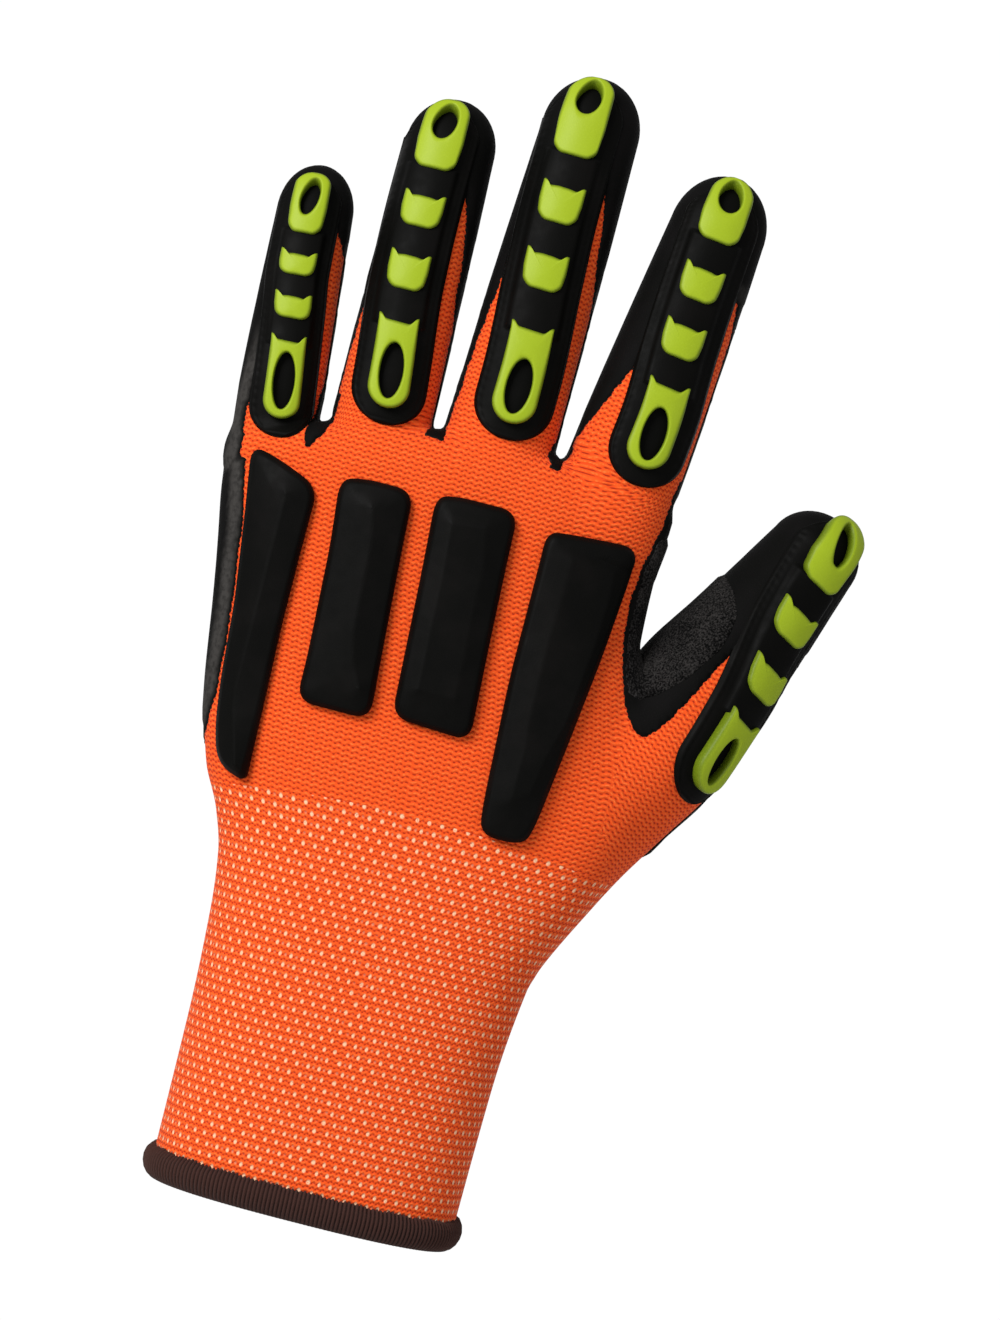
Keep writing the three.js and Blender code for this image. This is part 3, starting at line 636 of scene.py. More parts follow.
def add_node(tree: bpy.types.NodeTree, kind: str, inputs: dict | None = None, **settings) -> bpy.types.Node:
    """Adds a node with its settings and inputs.

    Args:
        tree: the node tree to add it to.
        kind: the node's type name.
        inputs: values or output sockets for its inputs, by name or number.
        **settings: the node's own properties.

    Returns:
        The new node.
    """
    node = tree.nodes.new(kind)
    for key, value in settings.items():
        setattr(node, key, value)
    for key, value in (inputs or {}).items():
        if isinstance(value, bpy.types.NodeSocket):
            tree.links.new(value, node.inputs[key])
        else:
            node.inputs[key].default_value = value
    return node


class Finish:
    """A procedural material under construction, with short ways to do sums in it."""

    def __init__(self, name: str) -> None:
        """Starts an empty material of that name."""
        self.material = bpy.data.materials.new(name)
        self.material.use_nodes = True
        self.tree = self.material.node_tree
        self.tree.nodes.clear()

    def add(self, kind: str, inputs: dict | None = None, **settings) -> bpy.types.Node:
        """Adds a node to this material."""
        return add_node(self.tree, kind, inputs, **settings)

    def sum(self, operation: str, *values) -> bpy.types.NodeSocket:
        """The result of a math operation on numbers or sockets."""
        return self.add("ShaderNodeMath", dict(enumerate(values)), operation=operation).outputs[0]

    def value(self, name: str) -> bpy.types.NodeSocket:
        """A number kept on the mesh under that name."""
        return self.add("ShaderNodeAttribute", attribute_name=name, attribute_type="GEOMETRY").outputs["Fac"]

    def vector(self, name: str) -> list[bpy.types.NodeSocket]:
        """The three parts of a vector kept on the mesh under that name."""
        node = self.add("ShaderNodeAttribute", attribute_name=name, attribute_type="GEOMETRY")
        return list(self.add("ShaderNodeSeparateXYZ", {0: node.outputs["Vector"]}).outputs)

    def place(self) -> bpy.types.NodeSocket:
        """The point's place on the object, in metres."""
        return self.add("ShaderNodeTexCoord").outputs["Object"]

    def grain(self, size: float, detail: float = 2.0, roughness: float = 0.5) -> bpy.types.NodeSocket:
        """Noise between 0 and 1 with lumps of about that size in millimetres."""
        inputs = {"Vector": self.place(), "Scale": 1 / (size * MM), "Detail": detail, "Roughness": roughness}
        return self.add("ShaderNodeTexNoise", inputs).outputs[0]

    def between(self, value, low: float, high: float, to_low: float = 0.0, to_high: float = 1.0):
        """A value eased from one range to another and held at its ends."""
        inputs = {"Value": value, 1: low, 2: high, 3: to_low, 4: to_high}
        return self.add("ShaderNodeMapRange", inputs, interpolation_type="SMOOTHSTEP").outputs[0]

    def mix(self, share, low, high) -> bpy.types.NodeSocket:
        """A colour between two, each a hex code or a socket."""
        low, high = (linear(c) if isinstance(c, str) else c for c in (low, high))
        node = self.add("ShaderNodeMix", {"Factor": share, "A": low, "B": high}, data_type="RGBA")
        return node.outputs["Result"]

    def done(self, colour, roughness, height=None, depth: float = 0.1, **sockets) -> bpy.types.Material:
        """Ends the material with its shader.

        Args:
            colour: base colour, a hex code or a socket.
            roughness: a number or a socket.
            height: relief between 0 and 1, if it has any.
            depth: depth of that relief in millimetres.
            **sockets: other inputs of the shader, with _ for a space.

        Returns:
            The finished material.
        """
        inputs = {"Base Color": linear(colour) if isinstance(colour, str) else colour, "Roughness": roughness}
        inputs |= {name.replace("_", " "): value for name, value in sockets.items()}
        if height is not None:
            bump = self.add("ShaderNodeBump", {"Height": height, "Distance": depth * MM, "Strength": 1.0})
            inputs["Normal"] = bump.outputs[0]
        shader = self.add("ShaderNodeBsdfPrincipled", inputs)
        self.add("ShaderNodeOutputMaterial", {0: shader.outputs[0]})
        return self.material


@dataclass(frozen=True)
class OrangeKnit:
    """Polyester yarn, knitted: rows of bent stitches with painted shade in the holes between, and pale flecks
    on the cuff.

    The look comes from waves along stitch numbers: their height gives the yarn's roundness, with a painted
    highlight on its crests and painted shade between rows, and the low places between rows the holes. Near
    the dip its black creeps into the yarn.
    """

    yarn: str = "#F5571C"
    # The next three colours are painted light: a highlight on the yarn's crests, shade between rows, shade in
    # the holes.
    high: str = "#FD7838"
    gap: str = "#E44A1B"
    hole_shade: str = "#8E1C0C"
    fleck: str = "#F3C39C"
    stain: str = "#131110"
    hand_bend: float = 0.16
    cuff_bend: float = 0.14
    fleck_size: float = 0.19
    faint_size: float = 0.15

    def make(self) -> bpy.types.Material:
        """The material, whose scale comes from stitch numbers kept on the mesh."""
        f = Finish("knitted_polyester_orange")
        hand, cuff = f.vector("stitch"), f.vector("cuff_stitch")
        is_cuff = f.between(f.value("below_hand"), -0.05, 0.05)
        fuzz = f.grain(0.5, 3)

        def rows(wale, course, bend: float):
            """Height of the yarn in a row of bent stitches, and how much painted shade shows in a hole."""
            wave = f.sum("COSINE", f.sum("MULTIPLY", wale, 2 * math.pi))
            line = f.sum("ADD", course, f.sum("MULTIPLY", wave, bend))
            ridge = f.sum("COSINE", f.sum("MULTIPLY", line, 2 * math.pi))
            turns = f.between(f.sum("ABSOLUTE", wave), 0.4, 0.95)
            hole_shade = f.sum("MULTIPLY", f.between(ridge, -0.4, -0.95), turns)
            return f.sum("MULTIPLY_ADD", ridge, 0.5, 0.5), hole_shade

        hand_height, hand_hole_shade = rows(hand[0], hand[1], self.hand_bend)
        cuff_height, cuff_hole_shade = rows(cuff[0], cuff[1], self.cuff_bend)

        def either(a, b):
            """The first value on the hand, the second on the cuff."""
            return f.add("ShaderNodeMix", {"Factor": is_cuff, 2: a, 3: b}, data_type="FLOAT").outputs[0]

        height, hole_shade = either(hand_height, cuff_height), either(hand_hole_shade, cuff_hole_shade)
        # Painted shade: the gap colour darkens the grooves between rows, where the yarn's height is low.
        colour = f.mix(f.between(height, 0.0, 0.55), self.gap, self.yarn)
        # Painted highlight: the high colour lights the yarn's crests, broken up by fuzz.
        crest_highlight = f.sum("MULTIPLY", f.between(height, 0.6, 1.0), f.between(fuzz, 0.35, 0.75))
        colour = f.mix(crest_highlight, colour, self.high)
        # Painted shade in the holes between stitches, from the hole colour.
        colour = f.mix(f.sum("MULTIPLY", hole_shade, 0.8), colour, self.hole_shade)

        def spot(shift: float, size: float):
            """Flecks at every other stitch of every other row, each row moved by one stitch."""
            row = f.sum("MULTIPLY_ADD", cuff[1], 0.5, 0.25)
            step = f.sum("FRACT", f.sum("MULTIPLY_ADD", f.sum("FLOOR", row), 0.5, shift))
            half = f.sum("ADD", f.sum("MULTIPLY_ADD", cuff[0], 0.5, 0.25), step)
            near = [f.sum("ABSOLUTE", f.sum("SUBTRACT", f.sum("FRACT", n), 0.5)) for n in (half, row)]
            near[1] = f.sum("MULTIPLY", near[1], 0.6)
            far = f.sum("SQRT", f.sum("ADD", *(f.sum("MULTIPLY", n, n) for n in near)))
            return f.between(far, size, size - 0.1)

        strong = f.sum("MULTIPLY", spot(0.0, self.fleck_size), f.between(fuzz, 0.25, 0.45, 0.35, 0.95))
        patchy = f.between(f.grain(5.0, 1), 0.42, 0.6, 0.03, 0.3)
        faint = f.sum("MULTIPLY", spot(0.5, self.faint_size), patchy)
        flecks = f.sum("MULTIPLY", f.sum("MAXIMUM", strong, faint), is_cuff)
        colour = f.mix(flecks, colour, self.fleck)
        tooth = f.sum("MULTIPLY_ADD", height, 0.18, f.sum("MULTIPLY", fuzz, 0.3))
        stained = f.between(f.sum("ADD", f.value("coat_edge"), tooth), 0.0, 0.12)
        colour = f.mix(stained, colour, self.stain)
        relief = f.sum("ADD", height, f.sum("MULTIPLY", fuzz, 0.25))
        gloss = {"Specular_IOR_Level": 0.12, "Sheen_Weight": 0.03, "Sheen_Roughness": 0.5}
        return f.done(colour, 0.9, relief, 0.2, **gloss)


@dataclass(frozen=True)
class NitrileDip:
    """Dipped nitrile with a sandy grain: matt, near black, paler where the dip runs thin at its edge."""

    dark: str = "#080807"
    soft: str = "#0D0C0C"
    pale: str = "#3B3937"
    glint: str = "#232221"
    grit: float = 0.32

    def make(self) -> bpy.types.Material:
        """The material, with the thin edge from distances kept on the mesh."""
        f = Finish("dipped_nitrile_black")
        grain = f.grain(self.grit, 2)
        thin = f.sum("MULTIPLY", f.value("thin"), f.between(f.grain(1.1, 3), 0.3, 0.6, 0.55, 1.0))
        colour = f.mix(f.between(f.grain(14.0, 2), 0.35, 0.7), self.dark, self.soft)
        colour = f.mix(thin, colour, self.pale)
        colour = f.mix(f.sum("MULTIPLY", f.between(grain, 0.62, 0.8), 0.3), colour, self.glint)
        return f.done(colour, 0.75, grain, 0.06, Specular_IOR_Level=0.06)


@dataclass(frozen=True)
class GripPatch:
    """Second dip in the crotch of the thumb, strewn with grit: grey with black pits."""

    light: str = "#343231"
    dark: str = "#060606"
    grit: float = 0.42

    def make(self) -> bpy.types.Material:
        """The material, with grit a little coarser than real, so that it shows."""
        f = Finish("gritted_nitrile_grey")
        grain, cloud = f.grain(self.grit, 2, 0.7), f.grain(6.0, 2)
        share = f.between(f.sum("ADD", grain, f.sum("MULTIPLY", cloud, 0.3)), 0.52, 0.85)
        colour = f.mix(share, self.dark, self.light)
        return f.done(colour, 0.95, grain, 0.25, Specular_IOR_Level=0.05)


@dataclass(frozen=True)
class HemYarn:
    """Overlock thread: brown polyester, wound tight, with fuzz."""

    # light is the thread's own colour, dark the painted shade between its turns.
    light: str = "#3F2823"
    dark: str = "#150B09"
    fuzz: str = "#5E4038"

    def make(self) -> bpy.types.Material:
        """The material, with painted shade between the turns of the thread."""
        f = Finish("overlock_thread_brown")
        strands = f.grain(0.22, 3)
        # Painted shade between the turns of the thread, where rib is low.
        colour = f.mix(f.between(f.value("rib"), 0.05, 0.8), self.dark, self.light)
        colour = f.mix(f.sum("MULTIPLY", f.between(strands, 0.55, 0.8), 0.4), colour, self.fuzz)
        return f.done(colour, 0.95, strands, 0.15, Specular_IOR_Level=0.1, Sheen_Weight=0.05)


@dataclass(frozen=True)
class BlackRubber:
    """Thermoplastic rubber moulded against an eroded mould: black, with a fine dull grain."""

    name: str
    dark: str
    worn: str
    sheen: float = 0.05

    def make(self) -> bpy.types.Material:
        """The material, with faint handling marks."""
        f = Finish(self.name)
        grain = f.grain(0.25, 1)
        colour = f.mix(f.between(f.grain(9.0, 3), 0.4, 0.75), self.dark, self.worn)
        roughness = f.between(f.grain(3.0, 3), 0.3, 0.7, 0.5, 0.6)
        return f.done(colour, roughness, grain, 0.02, Specular_IOR_Level=self.sheen)


@dataclass(frozen=True)
class LimeRubber:
    """Thermoplastic rubber of a lime colour: satin, with fine speckles."""

    body: str = "#98AE1A"
    shade: str = "#667A10"
    glow: str = "#A9BF36"

    def make(self) -> bpy.types.Material:
        """The material, with painted shade where the pad rolls over at its rim and down its window's walls.
        """
        f = Finish("moulded_tpr_lime")
        grain = f.grain(0.3, 2)
        # Painted shade where rim is low: on the pad's rolled-over rim and down its window's walls.
        colour = f.mix(f.between(f.value("rim"), 0.0, 0.9), self.shade, self.body)
        colour = f.mix(f.sum("MULTIPLY", f.between(grain, 0.5, 0.75), 0.22), colour, self.glow)
        return f.done(colour, 0.48, grain, 0.02, Specular_IOR_Level=0.22)


# Pieces


@dataclass
class Liner:
    """The knitted liner, and the skin that the dips follow.

    Stitches are counted round the hand and the cuff, along them in courses and round a digit by their width.
    """

    form: HandForm
    hand_wales: int = 110
    cuff_wales: int = 148
    hand_course: float = 1.16
    cuff_course: float = 1.075
    digit_wale: float = 1.95
    table_rows: int = 40
    table_steps: int = 64
    full_from: float = 84.0
    full_at: float = 100.0
    flecks_from: float = 89.2
    low: tuple[float, float, float] = (-63.0, -26.0, 0.9)
    high: tuple[float, float, float] = (84.0, 26.0, 256.0)
    skin: Surface | None = None

    def build_skin(self) -> Surface:
        """The smooth surface of the filled form, with the values that its pieces need."""
        axes = [np.arange(a, b, NET_STEP) for a, b in zip(self.low, self.high)]
        x, y, z = axes[0][:, None, None], axes[1][None, :, None], axes[2][None, None, :]
        points, quads = surface_net(self.form.distance(x, y, z), np.array(self.low), NET_STEP)
        edge = np.unique(open_edges(quads))
        points = self.form.settle(points, 0.0, 4)
        points[edge, 2] = MOUTH
        slope = self.form.slope(points)
        normals = slope / np.linalg.norm(slope, axis=1)[:, None]
        normals[edge, 2] = 0
        self.skin = Surface(points, normals, quads)
        self.skin.data["coat_edge"] = CoatLine(self.form).depth(points)
        return self.skin

    def round_share(self, points: np.ndarray) -> np.ndarray:
        """Share of the way round the section from the middle of the back, -0.5 to 0.5."""
        level = self.form.level(points[:, 0], points[:, 2])
        middle, half, back, palm = self.form.halves(level)
        form, n = self.form, self.form.squareness
        angles = np.linspace(0, math.pi, self.table_steps + 1)
        levels = np.linspace(0, HAND_TOP, self.table_rows)
        widths = (np.array(form.rights) - form.lefts) / 2
        spans = [np.interp(levels, form.heights, values) for values in (widths, form.backs, form.palms)]
        tables = []
        for wide, over, under in zip(*spans):
            u = wide * np.sin(angles) ** (2 / n)
            w = np.sign(np.cos(angles)) * np.abs(np.cos(angles)) ** (2 / n)
            w = np.where(w > 0, over, under) * w
            run = np.concatenate([[0], np.cumsum(np.hypot(np.diff(u), np.diff(w)))])
            tables.append(run / run[-1] / 2)
        tables = np.array(tables)
        u, out = (points[:, 0] - middle) / half, -points[:, 1]
        w = out / np.where(out > 0, back, palm)
        angle = np.arctan2(np.abs(u) ** (n / 2), np.sign(w) * np.abs(w) ** (n / 2))
        row = np.clip(level / HAND_TOP, 0, 0.9999) * (self.table_rows - 1)
        column = np.clip(angle / math.pi, 0, 0.9999) * self.table_steps
        i, j = row.astype(int), column.astype(int)
        s, t = row - i, column - j
        share = (tables[i, j] * (1 - s) + tables[i + 1, j] * s) * (1 - t)
        share += (tables[i, j + 1] * (1 - s) + tables[i + 1, j + 1] * s) * t
        return np.sign(u) * share

    def stitches(self) -> tuple[np.ndarray, np.ndarray]:
        """Stitch numbers of the hand and of the cuff at the corners of each face."""
        skin = self.skin
        points, faces = skin.points, skin.faces
        share = self.round_share(points)
        corner = share[faces]
        wraps = np.ptp(corner, axis=1) > 0.5
        corner = np.where(wraps[:, None] & (corner < 0), corner + 1, corner)
        height = points[:, 2]
        cuff = np.stack([corner * self.cuff_wales, (height / self.cuff_course)[faces]], -1)
        hand = np.stack([corner * self.hand_wales, (height / self.hand_course)[faces]], -1)
        fields = np.stack(self.form.parts(*points.T), 1)
        fields[:, :4] -= 1.0
        nearest = np.argmin(fields, 1)[faces]
        owner = np.where((nearest == nearest[:, :1]).all(1), nearest[:, 0], nearest.min(1))
        for index, digit in enumerate(self.form.digits):
            chosen = owner == index
            at, across, out = digit.local(*points.T)
            half, deep = digit.halves(np.clip(at, 0, digit.shaft))
            turn = np.arctan2(across / half, out / deep)
            around = turn * np.sqrt(half * deep)
            if digit.name == "thumb":
                own = np.stack([around / self.digit_wale, at / self.hand_course], 1)
                hand[chosen] = own[faces[chosen]]
                continue
            start = self.round_share(np.array([[digit.start[0], -9.0, 160.0]]))[0] * self.hand_wales
            free = ease(at, -6.0, 8.0)
            joined = np.clip(share * self.hand_wales - start, -6, 6)
            wale = start + free * around / self.digit_wale + (1 - free) * joined
            rise = ease(at, 0.0, 12.0)
            course = ((1 - rise) * height + rise * (HAND_TOP + at)) / self.hand_course
            own = np.stack([wale, course], 1)
            hand[chosen] = own[faces[chosen]]
        return hand, cuff

    def knit_rise(self, points: np.ndarray) -> np.ndarray:
        """How far the knit stands above the form: fuller on the hand than on the cuff."""
        return KNIT_RISE * ease(points[:, 2], self.full_from, self.full_at)

    def build(self, material: bpy.types.Material) -> bpy.types.Object:
        """The liner as a closed wall that is open at the cuff."""
        skin = self.skin
        rise = self.knit_rise(skin.points)
        points, faces = shell(skin, rise, rise - KNIT_WALL)
        line = self.flecks_from - 0.0021 * (skin.points[:, 0] - 2.0) ** 2
        floats = {
            "coat_edge": np.tile(skin.data["coat_edge"], 2),
            "below_hand": np.tile(line - skin.points[:, 2], 2),
        }
        names = ["knit_liner", *(f"knit_liner_{d.name}" for d in self.form.digits)]
        piece = add_piece("liner", points, faces, material, names, floats)
        loops = np.zeros(len(piece.data.loops), int)
        piece.data.loops.foreach_get("vertex_index", loops)
        for name, corner in zip(("stitch", "cuff_stitch"), self.stitches()):
            flat = np.concatenate([corner.reshape(-1, 2), corner[:, ::-1].reshape(-1, 2)])
            whole = np.zeros((len(loops), 3), np.float32)
            whole[: len(flat), :2] = flat
            kept = piece.data.attributes.new(name, "FLOAT_VECTOR", "CORNER")
            kept.data.foreach_set("vector", whole.ravel())
        return piece


@dataclass(frozen=True)
class CoatLine:
    """Where the dip ends: it leaves the back of the hand and strips beside the guards bare.

    The bare part of the hand is an outline in X and Z. A digit's bare strip has rows of a distance along the
    digit and its left and right edges across it. Spots of the dip show in the webs between the fingers.
    """

    form: HandForm
    heel: float = 92.5
    margin: float = 0.45
    thumb_slope: float = 0.0872
    bare_hand: tuple[tuple[float, float], ...] = (
        (-90, -50), (-90, 88), (-46, 92), (-44.6, 96), (-44.3, 105), (-45.3, 120), (-47.8, 140), (-49.8, 150),
        (-51, 156), (-52.8, 160), (-53.6, 166), (-45, 168), (39.6, 168), (39, 162), (37, 153), (36.3, 145),
        (36.8, 138), (38.5, 130), (40.5, 124), (42, 121.5), (44.6, 118), (46, 117.6), (47.5, 118.3),
        (50.5, 122), (54.5, 129), (57.5, 135), (60.5, 140), (63, 143), (90, 143), (90, -50),
    )
    bare_digits: tuple[tuple[tuple[float, float, float], ...], ...] = (
        ((-16, -6.4, 8.6), (-10, -6.1, 8.8), (-3.5, -6.3, 9.0), (3, -5.5, 9.0), (17.5, -4.5, 9.3),
         (24.5, -4, 8.8), (29.5, -3, 8.2), (35, -2, 6.4), (37, 0, 5.0)),
        ((-16, -10.6, 10.6), (4.5, -10.5, 10.8), (19.5, -9.9, 10.3), (25.5, -9.4, 9.7), (30, -7.5, 9.25),
         (39.5, -5, 8.5), (51, -4, 5.8), (53, 0, 4.0)),
        ((-16, -12.2, 12.6), (2.5, -11.7, 12.6), (9.5, -11.2, 12.6), (19.5, -10.8, 12.2), (29.5, -9.9, 11.6),
         (38.5, -9.0, 10.4), (44.5, -6.5, 9.5), (60, -4, 6.75), (62, 0, 5.0)),
        ((-16, -14, 9.8), (0.5, -13.4, 11.8), (5.5, -12, 12.4), (11.6, -10.1, 12.3), (17.6, -8.3, 12.2),
         (24.7, -6.1, 11.9), (34.7, -4, 11.1), (43.3, -2, 9.8), (45, 0, 8.0)),
    )
    web_spots: tuple[tuple[tuple[float, float], ...], ...] = (
        ((-39.3, 173), (-39.6, 165), (-39.4, 161.4), (-38.5, 159.6), (-37.2, 161.2), (-35.8, 163.6),
         (-34.6, 166.2), (-34.2, 173)),
        ((-14.4, 176), (-14.8, 171.8), (-13.9, 169.7), (-12.6, 169.3), (-11.5, 170.2), (-10.7, 172),
         (-10.6, 176)),
        ((11.8, 174), (11.4, 171.0), (12.4, 169.2), (14.2, 169.4), (15.9, 170.6), (17.2, 174)),
    )

    def depth(self, points: np.ndarray) -> np.ndarray:
        """Distance of points inside the dip from its edge, negative on bare knit."""
        x, y, z = points.T
        *_, thumb = self.form.digits
        thumb_at, _, _ = thumb.local(x, y, z)
        middle = np.where(x > 40, thumb.start[1] + self.thumb_slope * np.clip(thumb_at, 0, thumb.length), 0)
        flat = polygon_distance(x, z, list(self.bare_hand))
        bare = np.maximum(flat, y - middle - 1.0)
        bare = np.minimum(bare, z - self.heel)
        for digit, rows in zip(self.form.digits, self.bare_digits):
            at, across, out = digit.local(x, y, z)
            keys = [row[0] for row in rows]
            left = smooth_curve(at, keys, [row[1] for row in rows])
            right = smooth_curve(at, keys, [row[2] for row in rows])
            sides = np.maximum(left - across, across - right) + self.margin
            window = np.maximum(sides, np.maximum(keys[0] - at, at - keys[-1]))
            bare = np.minimum(bare, np.maximum(window, -out))
        for spot in self.web_spots:
            bare = np.maximum(bare, -polygon_distance(x, z, list(spot)))
        wobble = 0.12 * np.sin(x * 1.9 + z * 0.7) + 0.1 * np.sin(z * 2.3 - x * 0.6)
        return bare + wobble


@dataclass
class Dips:
    """The nitrile coat over the palm side and the tips, and the gritted patch in the crotch of the thumb."""

    liner: Liner
    patch_outline: tuple[tuple[float, float], ...] = (
        (37.3, 158.0), (38.2, 159.8), (44.0, 161.0), (52.2, 158.3), (56.0, 155.6), (58.6, 152.0),
        (59.9, 147.5), (59.2, 143.5), (57.9, 139.5), (52.5, 131.6), (47.5, 126.7), (43.5, 124.6),
        (40.6, 125.6), (38.2, 129.6), (37.2, 136.0), (37.1, 150.0),
    )

    def climb(self, depth: np.ndarray, low: np.ndarray | float, high: np.ndarray | float) -> np.ndarray:
        """Rise of the dip's outer side at depths inside its edge, from just over low to high."""
        return low + DIP_EDGE + (high - low - DIP_EDGE) * ease(depth, -0.2, 1.5)

    def thin(self, points: np.ndarray, depth: np.ndarray) -> np.ndarray:
        """How much the dip shows pale at its thin edge: most along the little finger's side of the hand."""
        band = ease(depth, 0.1, 0.7) * (1 - ease(depth, 1.8, 3.0))
        hand = ease(points[:, 2], 90.0, 100.0) * (1 - ease(points[:, 2], 172.0, 186.0))
        little_side = ease(-points[:, 0], 40.0, 44.0)
        index_side = 0.45 * ease(points[:, 0], 34.0, 38.0) * ease(points[:, 2], 172.0, 180.0)
        index_side = index_side * (1 - ease(points[:, 2], 216.0, 224.0))
        return band * np.maximum(hand * little_side, index_side)

    def build(self, coat: bpy.types.Material, patch: bpy.types.Material) -> list[bpy.types.Object]:
        """The two dips as closed skins over the liner."""
        whole = self.liner.skin
        skin = Surface(whole.points, whole.normals, triangles_of(whole.faces), dict(whole.data))
        skin.data["rise"] = self.liner.knit_rise(whole.points)
        dipped = clipped(skin, skin.data["coat_edge"])
        depth = dipped.data["coat_edge"]
        full = COAT_RISE * ease(dipped.points[:, 2], 60.0, 100.0)
        top = self.climb(depth, dipped.data["rise"], full)
        points, faces = shell(dipped, top, dipped.data["rise"] - 0.25)
        floats = {"thin": np.tile(self.thin(dipped.points, depth), 2)}
        made = [add_piece("coat", points, faces, coat, ["nitrile_coat"], floats)]
        inside = -polygon_distance(whole.points[:, 0], whole.points[:, 2], list(self.patch_outline))
        inside = np.minimum(inside, skin.data["coat_edge"] - 0.4)
        skin.data["inside"] = inside
        skin.data["coat_top"] = self.climb(skin.data["coat_edge"], KNIT_RISE, COAT_RISE)
        grit = clipped(skin, inside)
        lip = 0.1 + (PATCH_RISE - COAT_RISE) * ease(grit.data["inside"], 0.0, 1.2)
        points, faces = shell(grit, grit.data["coat_top"] + lip, grit.data["coat_top"] - 0.2)
        made.append(add_piece("crotch_grip", points, faces, patch, ["crotch_patch"]))
        return made


@dataclass
class Hem:
    """The overlocked edge of the cuff: thread wound round the edge in close turns.

    Its profile has rows of a distance out from the cuff and a height.
    """

    form: HandForm
    turns: int = 206
    per_turn: int = 5
    profile: tuple[tuple[float, float], ...] = (
        (0.1, 6.9), (0.9, 6.5), (1.7, 5.6), (2.0, 4.4), (1.9, 3.1), (1.4, 1.8), (0.6, 0.8), (-0.2, 0.25),
        (-0.9, 0.05), (-1.9, 0.4), (-2.5, 1.3), (-2.6, 3.0), (-2.3, 5.0), (-1.6, 6.3), (-1.0, 6.6),
        (-0.5, 6.8),
    )

    def build(self, material: bpy.types.Material) -> bpy.types.Object:
        """The hem as a closed ring."""
        count = self.turns * self.per_turn
        fine = np.linspace(0, 2 * math.pi, 2001)
        n = self.form.squareness
        middle, half, back, palm = (float(v) for v in self.form.halves(np.array(0.0)))
        u = np.sign(np.sin(fine)) * np.abs(np.sin(fine)) ** (2 / n) * half
        w = np.sign(np.cos(fine)) * np.abs(np.cos(fine)) ** (2 / n)
        w = w * np.where(w > 0, back, palm)
        run = np.concatenate([[0], np.cumsum(np.hypot(np.diff(u), np.diff(w)))])
        at = np.linspace(0, run[-1], count, endpoint=False)
        x = np.interp(at, run, u) + middle
        y = -np.interp(at, run, w)
        slope_x = np.sign(x - middle) * np.abs((x - middle) / half) ** (n - 1) / half
        slope_y = np.sign(y) * np.abs(y / np.where(y < 0, back, palm)) ** (n - 1) / back
        normal = np.stack([slope_x, slope_y], 1)
        normal /= np.linalg.norm(normal, axis=1)[:, None]
        points, ribs = [], []
        turn = np.arange(count) / self.per_turn
        for offset, height in self.profile:
            lean = turn + 0.25 * height / 6.6
            rib = np.abs(np.cos(math.pi * lean))
            loose = 0.13 * np.sin(turn * 0.61) + 0.1 * np.sin(turn * 1.73 + 1.0)
            top = ease(np.array(height), 5.0, 6.6) * (loose + 0.5 * (rib - 0.5))
            out = offset + np.sign(offset) * 0.4 * (rib - 0.6)
            points.append(np.stack([x + normal[:, 0] * out, y + normal[:, 1] * out, height + top], 1))
            ribs.append(rib)
        rows = len(self.profile)
        faces = grid_faces(rows + 1, count, True) % (rows * count)
        # rib also goes to the thread's finish, which paints shade between the turns where it is low.
        points, floats = np.concatenate(points), {"rib": np.concatenate(ribs)}
        return add_piece("hem", points, faces[:, ::-1].tolist(), material, ["cuff_hem"], floats)


@dataclass(frozen=True)
class BarShape:
    """A moulded bar on the back of the hand: outline, top facet and the line down its middle, in X and Z."""

    name: str
    outline: tuple[tuple[float, ...], ...]
    top: tuple[tuple[float, float], ...]
    middle: tuple[tuple[float, float], ...]


